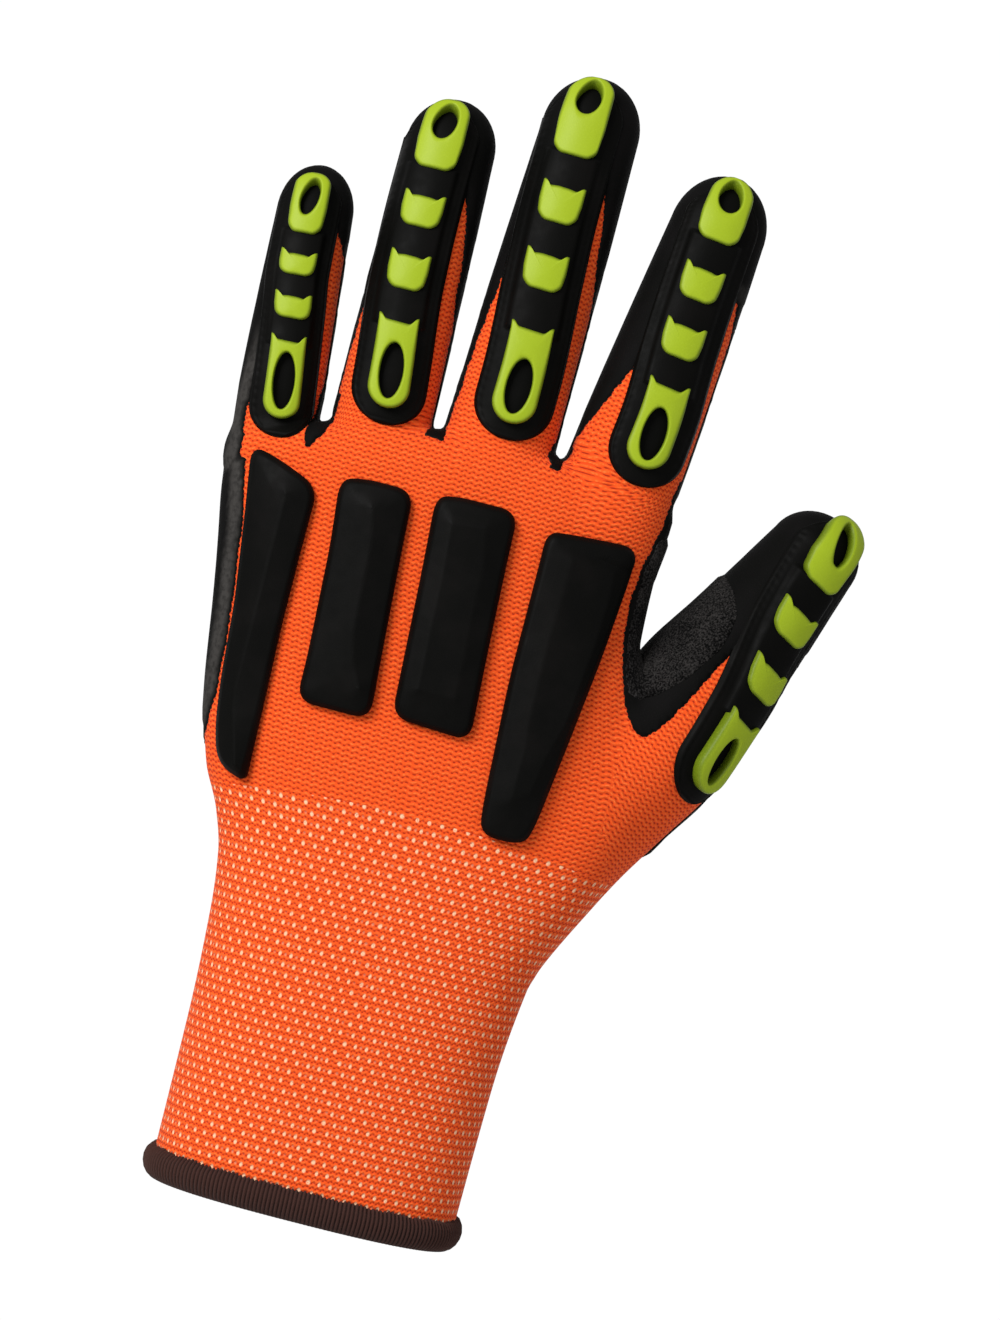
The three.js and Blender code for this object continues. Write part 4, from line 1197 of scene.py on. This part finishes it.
@dataclass
class KnuckleBars:
    """Four black bars welded to the back of the hand, each with a rim and facets up to its top."""

    form: HandForm
    count: int = 168
    corner: float = 4.0
    sunk: float = -0.7
    edge: float = 1.5
    bevel: float = 1.2
    bevel_width: float = 1.1
    crown: float = 4.6
    smoothing: int = 12
    near_gaps: tuple[float, ...] = (0.12, 0.35, 0.7)
    facet_rings: int = 19
    upright: float = 0.3
    shapes: tuple[BarShape, ...] = (
        BarShape(
            "little",
            (
                (-50.1, 157.3), (-44.6, 156.2), (-34.0, 152.0, 4.0), (-34.2, 140.4), (-34.2, 120.6),
                (-33.7, 104.0), (-33.4, 87.3, 2.0), (-40.2, 89.6), (-42.6, 97.5), (-44.0, 108.0),
                (-45.2, 123.8), (-47.8, 142.9),
            ),
            ((-40.2, 149.2), (-39.8, 149.0), (-39.7, 105.4), (-39.0, 101.6), (-35.7, 90.4), (-36.1, 90.4),
             (-39.4, 101.6), (-40.1, 105.4)),
            ((-40.0, 148.0), (-39.9, 105.4), (-39.2, 101.6), (-36.2, 91.4)),
        ),
        BarShape(
            "ring",
            (
                (-29.9, 154.9), (-25.0, 156.2), (-14.0, 156.2), (-13.5, 146.0), (-12.3, 126.2),
                (-11.0, 106.8), (-27.2, 106.9), (-27.2, 116.0), (-28.4, 140.4),
            ),
            ((-21.6, 150.4), (-21.2, 150.3), (-19.6, 142.5), (-19.4, 137.4), (-18.7, 123.8), (-17.2, 117.6),
             (-14.6, 112.6), (-15.0, 112.6), (-17.6, 117.6), (-19.1, 123.8), (-19.8, 137.4), (-20.0, 142.5)),
            ((-21.4, 150.0), (-19.8, 142.5), (-19.6, 137.4), (-18.9, 123.8), (-17.4, 117.6), (-15.1, 113.2)),
        ),
        BarShape(
            "middle",
            (
                (-9.2, 156.3), (-5.0, 157.4), (8.6, 157.4), (8.9, 147.0), (9.6, 128.9), (10.7, 107.6),
                (-6.7, 108.6), (-7.1, 117.3), (-8.1, 138.3),
            ),
            ((-4.5, 151.5), (2.8, 152.2), (4.4, 143.6), (4.4, 134.5), (5.2, 123.4), (5.3, 115.6),
             (-2.7, 115.5), (-3.3, 128.5), (-3.6, 139.3)),
            ((-0.8, 149.6), (0.5, 139.0), (1.0, 128.5), (1.3, 118.0)),
        ),
        BarShape(
            "index",
            (
                (15.5, 154.9), (20.0, 155.6), (35.3, 156.5), (34.9, 149.0), (33.3, 130.6), (31.2, 113.3),
                (28.6, 93.5), (27.2, 89.0), (17.5, 88.9), (16.7, 95.7), (15.5, 123.1), (15.6, 148.0),
            ),
            ((22.1, 150.0), (30.9, 150.0), (31.3, 145.0), (30.9, 134.7), (29.2, 116.6), (26.7, 107.8),
             (25.6, 100.3), (22.2, 97.8), (22.3, 109.6), (21.7, 114.5), (21.5, 131.2), (21.9, 139.3)),
            ((26.6, 147.0), (26.3, 134.0), (25.0, 114.0), (24.1, 104.0)),
        ),
    )

    def height_at(self, flat: np.ndarray, outline: np.ndarray, top: list[tuple[float, float]]) -> np.ndarray:
        """How high a bar stands: up its rim's bevel, then straight up its facets to the top.

        Args:
            flat: places inside the outline, in X and Z.
            outline: the bar's outline.
            top: corners of the flat top.

        Returns:
            Heights above the knit.
        """
        into = np.maximum(-polygon_distance(*flat.T, [tuple(point) for point in outline]), 0)
        left = np.maximum(polygon_distance(*flat.T, top), 0)
        share = into / np.maximum(into + left, 1e-6)
        rim = self.bevel * np.clip(into / self.bevel_width, 0, 1) ** 0.8
        return self.edge + rim + (self.crown - self.edge - self.bevel) * share

    def build_bar(self, shape: BarShape, material: bpy.types.Material) -> bpy.types.Object:
        """A bar as rings of points from its outline to the line down its middle."""
        outer = rounded_loop(list(shape.outline), self.count, self.corner)
        line = nearest_on(outer, list(shape.middle))
        for _ in range(self.smoothing):
            line = (np.roll(line, 1, 0) + 2 * line + np.roll(line, -1, 0)) / 4
        reach = np.linalg.norm(line - outer, axis=1)[:, None]
        inner = outer + (line - outer) * (1 - 0.3 / reach)
        flats = [outer, outer]
        heights = [np.full(self.count, height) for height in (self.sunk, self.edge - 0.25)]
        near = [outer + (line - outer) * (gap / reach) for gap in (*self.near_gaps, self.bevel_width)]
        start = near[-1]
        shares = np.linspace(0, 1, self.facet_rings + 1)[1:]
        for flat in near + [start + (inner - start) * share for share in shares]:
            flats.append(flat)
            heights.append(self.height_at(flat, outer, list(shape.top)))
        flat, height = np.concatenate(flats), np.concatenate(heights)
        origins = np.stack([flat[:, 0], np.zeros(len(flat)), flat[:, 1]], 1)
        seat, normal = self.form.seat(origins, np.tile([0.0, -1.0, 0.0], (len(flat), 1)), KNIT_RISE)
        lift = normal * [self.upright, 1.0, self.upright]
        lift /= np.linalg.norm(lift, axis=1)[:, None]
        points = seat + lift * height[:, None]
        faces = grid_faces(len(flats), self.count, True)[:, ::-1].tolist()
        end = int(np.argmin(inner[:, 1]))
        faces += [face[::-1] for face in cap_strip((len(flats) - 1) * self.count, self.count, end)]
        faces += cap_strip(0, self.count, end)
        node = f"knuckle_bar_{shape.name}"
        return add_piece(f"bar_{shape.name}", points, faces, material, [node])

    def build(self, material: bpy.types.Material) -> list[bpy.types.Object]:
        """All four bars."""
        return [self.build_bar(shape, material) for shape in self.shapes]


@dataclass(frozen=True)
class Window:
    """An oval opening in a pad: its middle along the digit, half width, half length and turn in degrees."""

    at: float
    half_width: float
    half_length: float
    turn: float = 0.0


@dataclass(frozen=True)
class PadShape:
    """A lime pad of a guard: where it lies along and across the digit, its width and its window."""

    kind: PadKind
    name: str
    low: float
    high: float
    width: float
    shift: float
    window: Window | None = None

    @property
    def middle(self) -> float:
        """Distance of its middle along the digit."""
        return (self.low + self.high) / 2


@dataclass(frozen=True)
class GuardShape:
    """A guard on a digit's back: its ends, width and pads, and how far its lower end lies off the middle.

    Its twist is the share of the shifts that is made by turning about the digit instead of moving over.
    """

    digit: str
    low: float
    high: float
    width: float
    shift: float
    pads: tuple[PadShape, ...]
    twist: float = 0.0


def four_pads(base: tuple, lower: tuple, upper: tuple, tip: tuple) -> tuple[PadShape, ...]:
    """The pads of a guard from their sizes, in the order of PadShape's fields after its name."""
    return (
        PadShape(PadKind.BASE, "base", *base),
        PadShape(PadKind.MIDDLE, "lower", *lower),
        PadShape(PadKind.MIDDLE, "upper", *upper),
        PadShape(PadKind.TIP, "tip", *tip),
    )


GUARDS = (
    GuardShape("little", -10.4, 48.8, 13.6, 1.1, four_pads(
        (-6.4, 10.3, 7.6, 0.55, Window(1.8, 2.2, 6.1)), (15.2, 19.8, 7.7, -0.42), (24.6, 29.0, 7.6, -1.1),
        (33.8, 47.5, 7.6, -1.0, Window(42.0, 1.8, 4.2, 8.0)))),
    GuardShape("ring", -2.0, 69.6, 16.0, 0.6, four_pads(
        (1.5, 20.0, 8.8, -0.3, Window(9.5, 2.45, 6.0)), (27.0, 34.2, 8.5, -1.9), (40.8, 47.4, 8.7, -2.15),
        (53.8, 69.0, 9.5, -1.9, Window(64.2, 2.4, 3.7, 9.0)))),
    GuardShape("middle", 1.3, 81.9, 17.0, 0.9, four_pads(
        (4.8, 25.2, 9.4, 0.75, Window(12.9, 2.6, 6.0)), (34.0, 41.5, 9.1, -0.77), (48.8, 56.5, 9.1, -1.6),
        (63.8, 81.5, 10.0, -1.97, Window(77.0, 2.55, 3.7, 6.0)))),
    GuardShape("index", -0.9, 68.4, 16.6, 2.8, four_pads(
        (2.9, 21.0, 9.2, 2.8, Window(10.6, 2.5, 5.8, -3.0)), (27.6, 34.4, 8.8, 1.3), (40.5, 47.3, 8.7, 0.6),
        (54.0, 68.3, 9.6, 0.05, Window(64.3, 2.5, 3.3, -10.0)))),
    GuardShape("thumb", 47.6, 115.8, 17.2, 0.9, four_pads(
        (51.3, 68.3, 9.9, 0.4, Window(59.0, 2.2, 5.6)), (74.2, 81.0, 10.1, -0.8), (87.8, 94.6, 10.1, -2.0),
        (101.4, 115.8, 10.2, -2.3, Window(110.9, 2.0, 3.8, -18.0))), twist=0.8),
)


@dataclass
class DigitGuard:
    """A guard seated on its digit: a flange with a raised, bridged middle and lime pads set into it."""

    form: HandForm
    shape: GuardShape
    flange: float = 1.3
    core_share: float = 0.64
    bridge: float = 2.9
    pad_top: float = 3.7
    rim: float = 0.8
    seat_rise: float = 0.35
    flare: float = 0.25
    tip_reach: float = 0.94
    seam_inset: float = 1.35
    seam_width: float = 0.3
    seam_stitch: float = 1.9
    lip: float = 0.55
    sunk: float = -0.25
    columns: int = 43
    row_gap: float = 0.42
    round_rows: int = 12
    pad_points: int = 132

    @property
    def digit(self) -> Digit:
        """The digit that carries this guard."""
        return next(d for d in self.form.digits if d.name == self.shape.digit)

    def shift_at(self, at: np.ndarray) -> np.ndarray:
        """How far the guard's middle line lies off the digit's, at distances along it."""
        shape = self.shape
        keys = [shape.low, *(pad.middle for pad in shape.pads)]
        return smooth_curve(at, keys, [shape.shift, *(pad.shift for pad in shape.pads)])

    def place(
        self, at: np.ndarray, across: np.ndarray, lift: np.ndarray, flare: float | np.ndarray
    ) -> np.ndarray:
        """Points above the digit's back.

        Args:
            at: distances along the digit.
            across: distances from the guard's own middle line.
            lift: heights above the knit.
            flare: how much the way up leans out with the digit's roundness, 1 for square to its surface.

        Returns:
            The points, one row each.
        """
        digit = self.digit
        along, back, side = digit.axes()
        base = np.minimum(at, digit.shaft)
        tip = np.arcsin(self.tip_reach * np.clip((at - digit.shaft) / digit.cap, 0, 1))[:, None]
        shift = self.shift_at(at)
        turn = digit.turn(base) + self.shape.twist * shift / digit.halves(base)[0]
        across = across + (1 - self.shape.twist) * shift
        c, s = np.cos(turn)[:, None], np.sin(turn)[:, None]
        out, over = c * back + s * side, c * side - s * back
        origins = np.array(digit.start) + base[:, None] * along - digit.droop(base)[:, None] * out
        origins = origins + across[:, None] * over * np.cos(tip * 0.4)
        directions = out * np.cos(tip) + along * np.sin(tip)
        seat, normal = self.form.seat(origins, directions, self.seat_rise)
        lean = normal * np.reshape(flare, (-1, 1)) + directions
        lean /= np.linalg.norm(lean, axis=1)[:, None]
        return seat + lean * lift[:, None]

    def half_at(self, at: np.ndarray) -> np.ndarray:
        """Half width of the flange, rounded at both ends."""
        shape = self.shape
        half = shape.width / 2
        low = np.clip((at - shape.low) / (half * 1.05), 0, 1)
        high = np.clip((shape.high - at) / (half * 0.9), 0, 1)
        return half * np.maximum(np.sqrt(1 - (1 - low) ** 2.3) * np.sqrt(1 - (1 - high) ** 2.6), 0.03)

    def bridging(self, at: np.ndarray) -> np.ndarray:
        """Share of the bridges' height along the digit: saddles between pads, lower under them."""
        pads = self.shape.pads
        share = np.zeros(len(at))
        for first, second in zip(pads, pads[1:]):
            start, end = first.high - 0.5, second.low + 0.5
            span = np.clip((at - start) / (end - start), 0, 1)
            saddle = 1 - 0.16 * np.sin(math.pi * span)
            share = np.maximum(share, saddle * ease(at, start - 0.4, start) * (1 - ease(at, end, end + 0.4)))
        for pad in pads[1:3]:
            start, end = ease(at, pad.low - 0.5, pad.low + 0.5), ease(at, pad.high - 0.5, pad.high + 0.5)
            share = np.maximum(share, 0.9 * start * (1 - end))
        return share

    def build_base(self, material: bpy.types.Material) -> bpy.types.Object:
        """The black part: a height field over the digit, closed by its underside."""
        shape = self.shape
        turn, end = 1 - np.cos(np.linspace(0, math.pi / 2, self.round_rows)), 3.0
        middle = np.arange(shape.low + end, shape.high - end, self.row_gap)
        rows = np.concatenate([shape.low + end * turn[:-1], middle, shape.high - end * turn[-2::-1]])
        quarter = math.pi / 2 * 0.9
        columns = np.sin(np.linspace(-1, 1, self.columns) * quarter) / math.sin(quarter)
        at, share = (a.ravel() for a in np.meshgrid(rows, columns, indexing="ij"))
        half = self.half_at(at)
        across = share * half
        edge = np.minimum(half - np.abs(across), (at - shape.low) * 1.2)
        edge = np.minimum(edge, (shape.high - at) * 1.2)
        height = self.lip + (self.flange - self.lip) * ease(edge, 0.0, 0.8)
        stitch = 0.5 + 0.5 * np.cos(at * 2 * math.pi / self.seam_stitch)
        seam = np.exp(-(((edge - self.seam_inset) / self.seam_width) ** 2))
        height += seam * (0.14 * ease(stitch, 0.25, 0.6) - 0.2)
        core = shape.width / 2 * self.core_share
        raised = self.bridging(at) * (1 - ease(np.abs(across), core - 0.45, core + 0.35))
        height = height + (self.bridge - self.flange) * raised * (1 - 0.22 * (across / core) ** 2)
        top = self.place(at, across, height, 1 - (1 - self.flare) * raised)
        bottom = self.place(at, across, np.full(len(at), self.sunk), 1.0)
        points, faces = closed_skin(top, bottom, grid_faces(len(rows), len(columns)))
        name = f"guard_{shape.digit}"
        return add_piece(f"{name}_base", points, faces, material, [name])

    @staticmethod
    def pad_outline(pad: PadShape) -> list[tuple[float, ...]]:
        """Corners of a pad's outline: distances across and along from the middle of its lower edge.

        Args:
            pad: the pad, whose kind gives the corners: two ears at the upper end of all but the tip's.

        Returns:
            The corners, some with a reach of their own for their rounding.
        """
        b, length = pad.width / 2, pad.high - pad.low
        turns = np.linspace(0.15, math.pi / 2, 7)
        if pad.kind is PadKind.BASE:
            right = [(b * math.sin(t), b * 1.02 * (1 - math.cos(t)), 0.3) for t in turns]
            left = [(-across, along, reach) for across, along, reach in right[::-1]]
            ears = [(b * 0.95, length), (b * 0.96, length + 1.6, 0.25), (b * 0.84, length + 1.45, 0.25),
                    (b * 0.56, length - 0.1, 0.5), (-b * 0.64, length + 0.1, 0.5),
                    (-b * 0.84, length + 1.2, 0.2), (-b * 0.97, length + 1.3, 0.2), (-b * 0.95, length)]
            return right + ears + left
        if pad.kind is PadKind.TIP:
            right = [(b * 0.6, 0.0, 0.8), (b * 0.92, 1.5, 0.9), (b, length * 0.4)]
            for t in turns[::-1]:
                right.append((b * math.sin(t) ** 0.8, length - b * 0.52 * (1 - math.cos(t)), 0.4))
            return right + [(-corner[0], *corner[1:]) for corner in reversed(right)]
        return [(b * 0.6, 0.0, 0.9), (b * 0.92, length * 0.2, 0.8), (b, length * 0.6), (b, length + 0.9, 0.2),
                (b * 0.86, length + 0.95, 0.2), (b * 0.62, length - 0.15, 0.5), (b * 0.3, length + 0.1),
                (-b * 0.3, length + 0.2), (-b * 0.66, length - 0.05, 0.4), (-b * 0.86, length + 1.1, 0.2),
                (-b * 0.99, length + 1.15, 0.2), (-b, length * 0.6), (-b * 0.92, length * 0.2, 0.8),
                (-b * 0.6, 0.0, 0.9)]

    def build_pad(self, pad: PadShape, material: bpy.types.Material) -> bpy.types.Object:
        """A pad as rings of points from its outline to its window or its middle."""
        count, top, rim, window = self.pad_points, self.pad_top, self.rim, pad.window
        outer = rounded_loop(self.pad_outline(pad), count, 0.5)
        centre = np.array([0.0, (pad.high - pad.low) / 2])
        inner = centre + (outer - centre) * 0.12
        if window:
            centre = np.array([0.0, window.at - pad.low])
            turn = math.radians(window.turn)
            angle = np.arctan2(outer[:, 0], outer[:, 1] - centre[1]) - turn
            oval = np.stack([np.sin(angle) * window.half_width, np.cos(angle) * window.half_length], 1)
            c, s = math.cos(turn), math.sin(turn)
            inner = centre + oval @ np.array([[c, -s], [s, c]])
        reach = np.linalg.norm(inner - outer, axis=1)[:, None]

        def inset(distance: float) -> np.ndarray:
            """The outline moved inwards by a distance, at most half way."""
            return outer + (inner - outer) * np.minimum(distance / reach, 0.5)

        drops = {0.0: 1.0, 0.1: 0.5, 0.3: 0.18, 0.6: 0.04, 1.0: 0.0}
        rings = [(outer, 0.6)] + [(inset(gap), top - drop * rim) for gap, drop in drops.items()]
        depths = [0.0, *drops]
        if window:
            rings += [(inner + (outer - inner) * share, top) for share in (0.45, 0.3, 0.17)]
            bevel = inner + (outer - inner) * np.minimum(0.3 / reach, 0.12)
            rings += [(bevel, top - 0.06), (inner, top - 0.4), (inner, top - 1.2), (inner, 0.9)]
            depths += [2.0, 2.0, 1.2, 0.6, 0.2, 0.0, 0.0]
        else:
            for share in (0.45, 0.25, 0.1):
                rings.append((centre + (outer - centre) * share, top + 0.12 * (1 - share)))
            depths += [2.0, 2.0, 2.0]
        flat = np.concatenate([ring for ring, _ in rings])
        lift = np.repeat([height for _, height in rings], count)
        points = self.place(flat[:, 1] + pad.low, flat[:, 0], lift, self.flare)
        rows = len(rings)
        faces = (grid_faces(rows + 1 if window else rows, count, True) % (rows * count)).tolist()
        if not window:
            faces.append([(rows - 1) * count + k for k in range(count)])
            faces.append(list(range(count))[::-1])
        node = f"guard_{self.shape.digit}_pad_{pad.name}"
        name = f"pad_{self.shape.digit}_{pad.name}"
        # rim is low at the rolled outer edge and the window's walls, where the lime finish paints shade.
        floats = {"rim": np.repeat(depths, count)}
        return add_piece(name, points, faces, material, [node], floats)


# Camera, light and floor


@dataclass
class Studio:
    """The camera at the photograph's angle, soft light, and a plain pale floor below the view."""

    eye: tuple[float, float, float] = (12.6, -1050.0, 126.0)
    lean: float = 14.4
    frame_height: float = 284.5
    room: float = 0.42
    wall: float = 1.02

    def place_camera(self) -> bpy.types.Object:
        """The camera, turned so that the glove leans to the right."""
        a = math.radians(self.lean)
        data = bpy.data.cameras.new("camera")
        data.lens = data.sensor_width / 2 / (self.frame_height / 2 / -self.eye[1])
        data.clip_start, data.clip_end = 0.01, 20
        camera = bpy.data.objects.new("camera", data)
        right, up = Vector((math.cos(a), 0, math.sin(a))), Vector((-math.sin(a), 0, math.cos(a)))
        turn = Matrix((right, up, right.cross(up))).transposed().to_4x4()
        camera.matrix_world = Matrix.Translation(Vector(self.eye) * MM) @ turn
        bpy.context.scene.collection.objects.link(camera)
        bpy.context.scene.camera = camera
        return camera

    def add_light(self, name: str, place: tuple[float, float, float], size: float, power: float) -> None:
        """A square soft light aimed at the middle of the glove."""
        data = bpy.data.lights.new(name, "AREA")
        data.size, data.energy = size, power
        light = bpy.data.objects.new(name, data)
        light.location = place
        aim = Vector((0.0, 0.0, 0.13)) - Vector(place)
        light.rotation_euler = aim.to_track_quat("-Z", "Y").to_euler()
        bpy.context.scene.collection.objects.link(light)

    def set_world(self) -> None:
        """A bright wall behind the glove and a dimmer room round it."""
        world = bpy.data.worlds.new("studio")
        bpy.context.scene.world = world
        world.use_nodes = True
        tree = world.node_tree
        tree.nodes.clear()
        place = add_node(tree, "ShaderNodeTexCoord")
        parts = add_node(tree, "ShaderNodeSeparateXYZ", {0: place.outputs["Generated"]})
        span = {"Value": parts.outputs["Y"], 1: 0.72, 2: 0.95, 3: self.room, 4: self.wall}
        share = add_node(tree, "ShaderNodeMapRange", span)
        sky = add_node(tree, "ShaderNodeBackground", {"Color": (1, 1, 1, 1), "Strength": share.outputs[0]})
        add_node(tree, "ShaderNodeOutputWorld", {0: sky.outputs[0]})

    def add_floor(self) -> None:
        """A pale round floor, below and out of the view."""
        count, radius = 64, 0.6
        turns = [2 * math.pi * k / count for k in range(count)]
        ring = [(radius * math.cos(turn), radius * math.sin(turn), -0.3) for turn in turns]
        mesh = bpy.data.meshes.new("floor")
        mesh.from_pydata(ring, [], [list(range(count))])
        finish = Finish("painted_board_pale")
        mesh.materials.append(finish.done("#E9E8E6", 0.8, finish.grain(2.0, 2), 0.05))
        floor = bpy.data.objects.new("floor", mesh)
        bpy.context.scene.collection.objects.link(floor)

    def build(self) -> None:
        """Everything round the glove."""
        self.place_camera()
        self.add_light("key", (-0.8, -0.95, 0.7), 0.6, 19.0)
        self.add_light("fill", (0.9, -1.2, 0.1), 1.0, 1.8)
        self.set_world()
        self.add_floor()
        bpy.context.scene.view_settings.view_transform = "Standard"


def main() -> None:
    """Builds the camera and the glove's pieces in order."""
    logging.basicConfig(level=logging.INFO, format="%(name)s: %(message)s")
    Studio().build()
    form = HandForm()
    black = BlackRubber("moulded_tpr_black_bars", "#080807", "#0D0C0B").make()
    guard_black = BlackRubber("moulded_tpr_black_guards", "#070706", "#0B0A09").make()
    lime = LimeRubber().make()
    liner = Liner(form)
    liner.build_skin()
    liner.build(OrangeKnit().make())
    Dips(liner).build(NitrileDip().make(), GripPatch().make())
    Hem(form).build(HemYarn().make())
    KnuckleBars(form).build(black)
    for shape in GUARDS:
        guard = DigitGuard(form, shape)
        guard.build_base(guard_black)
        for pad in shape.pads:
            guard.build_pad(pad, lime)


if __name__ == "__main__":
    main()
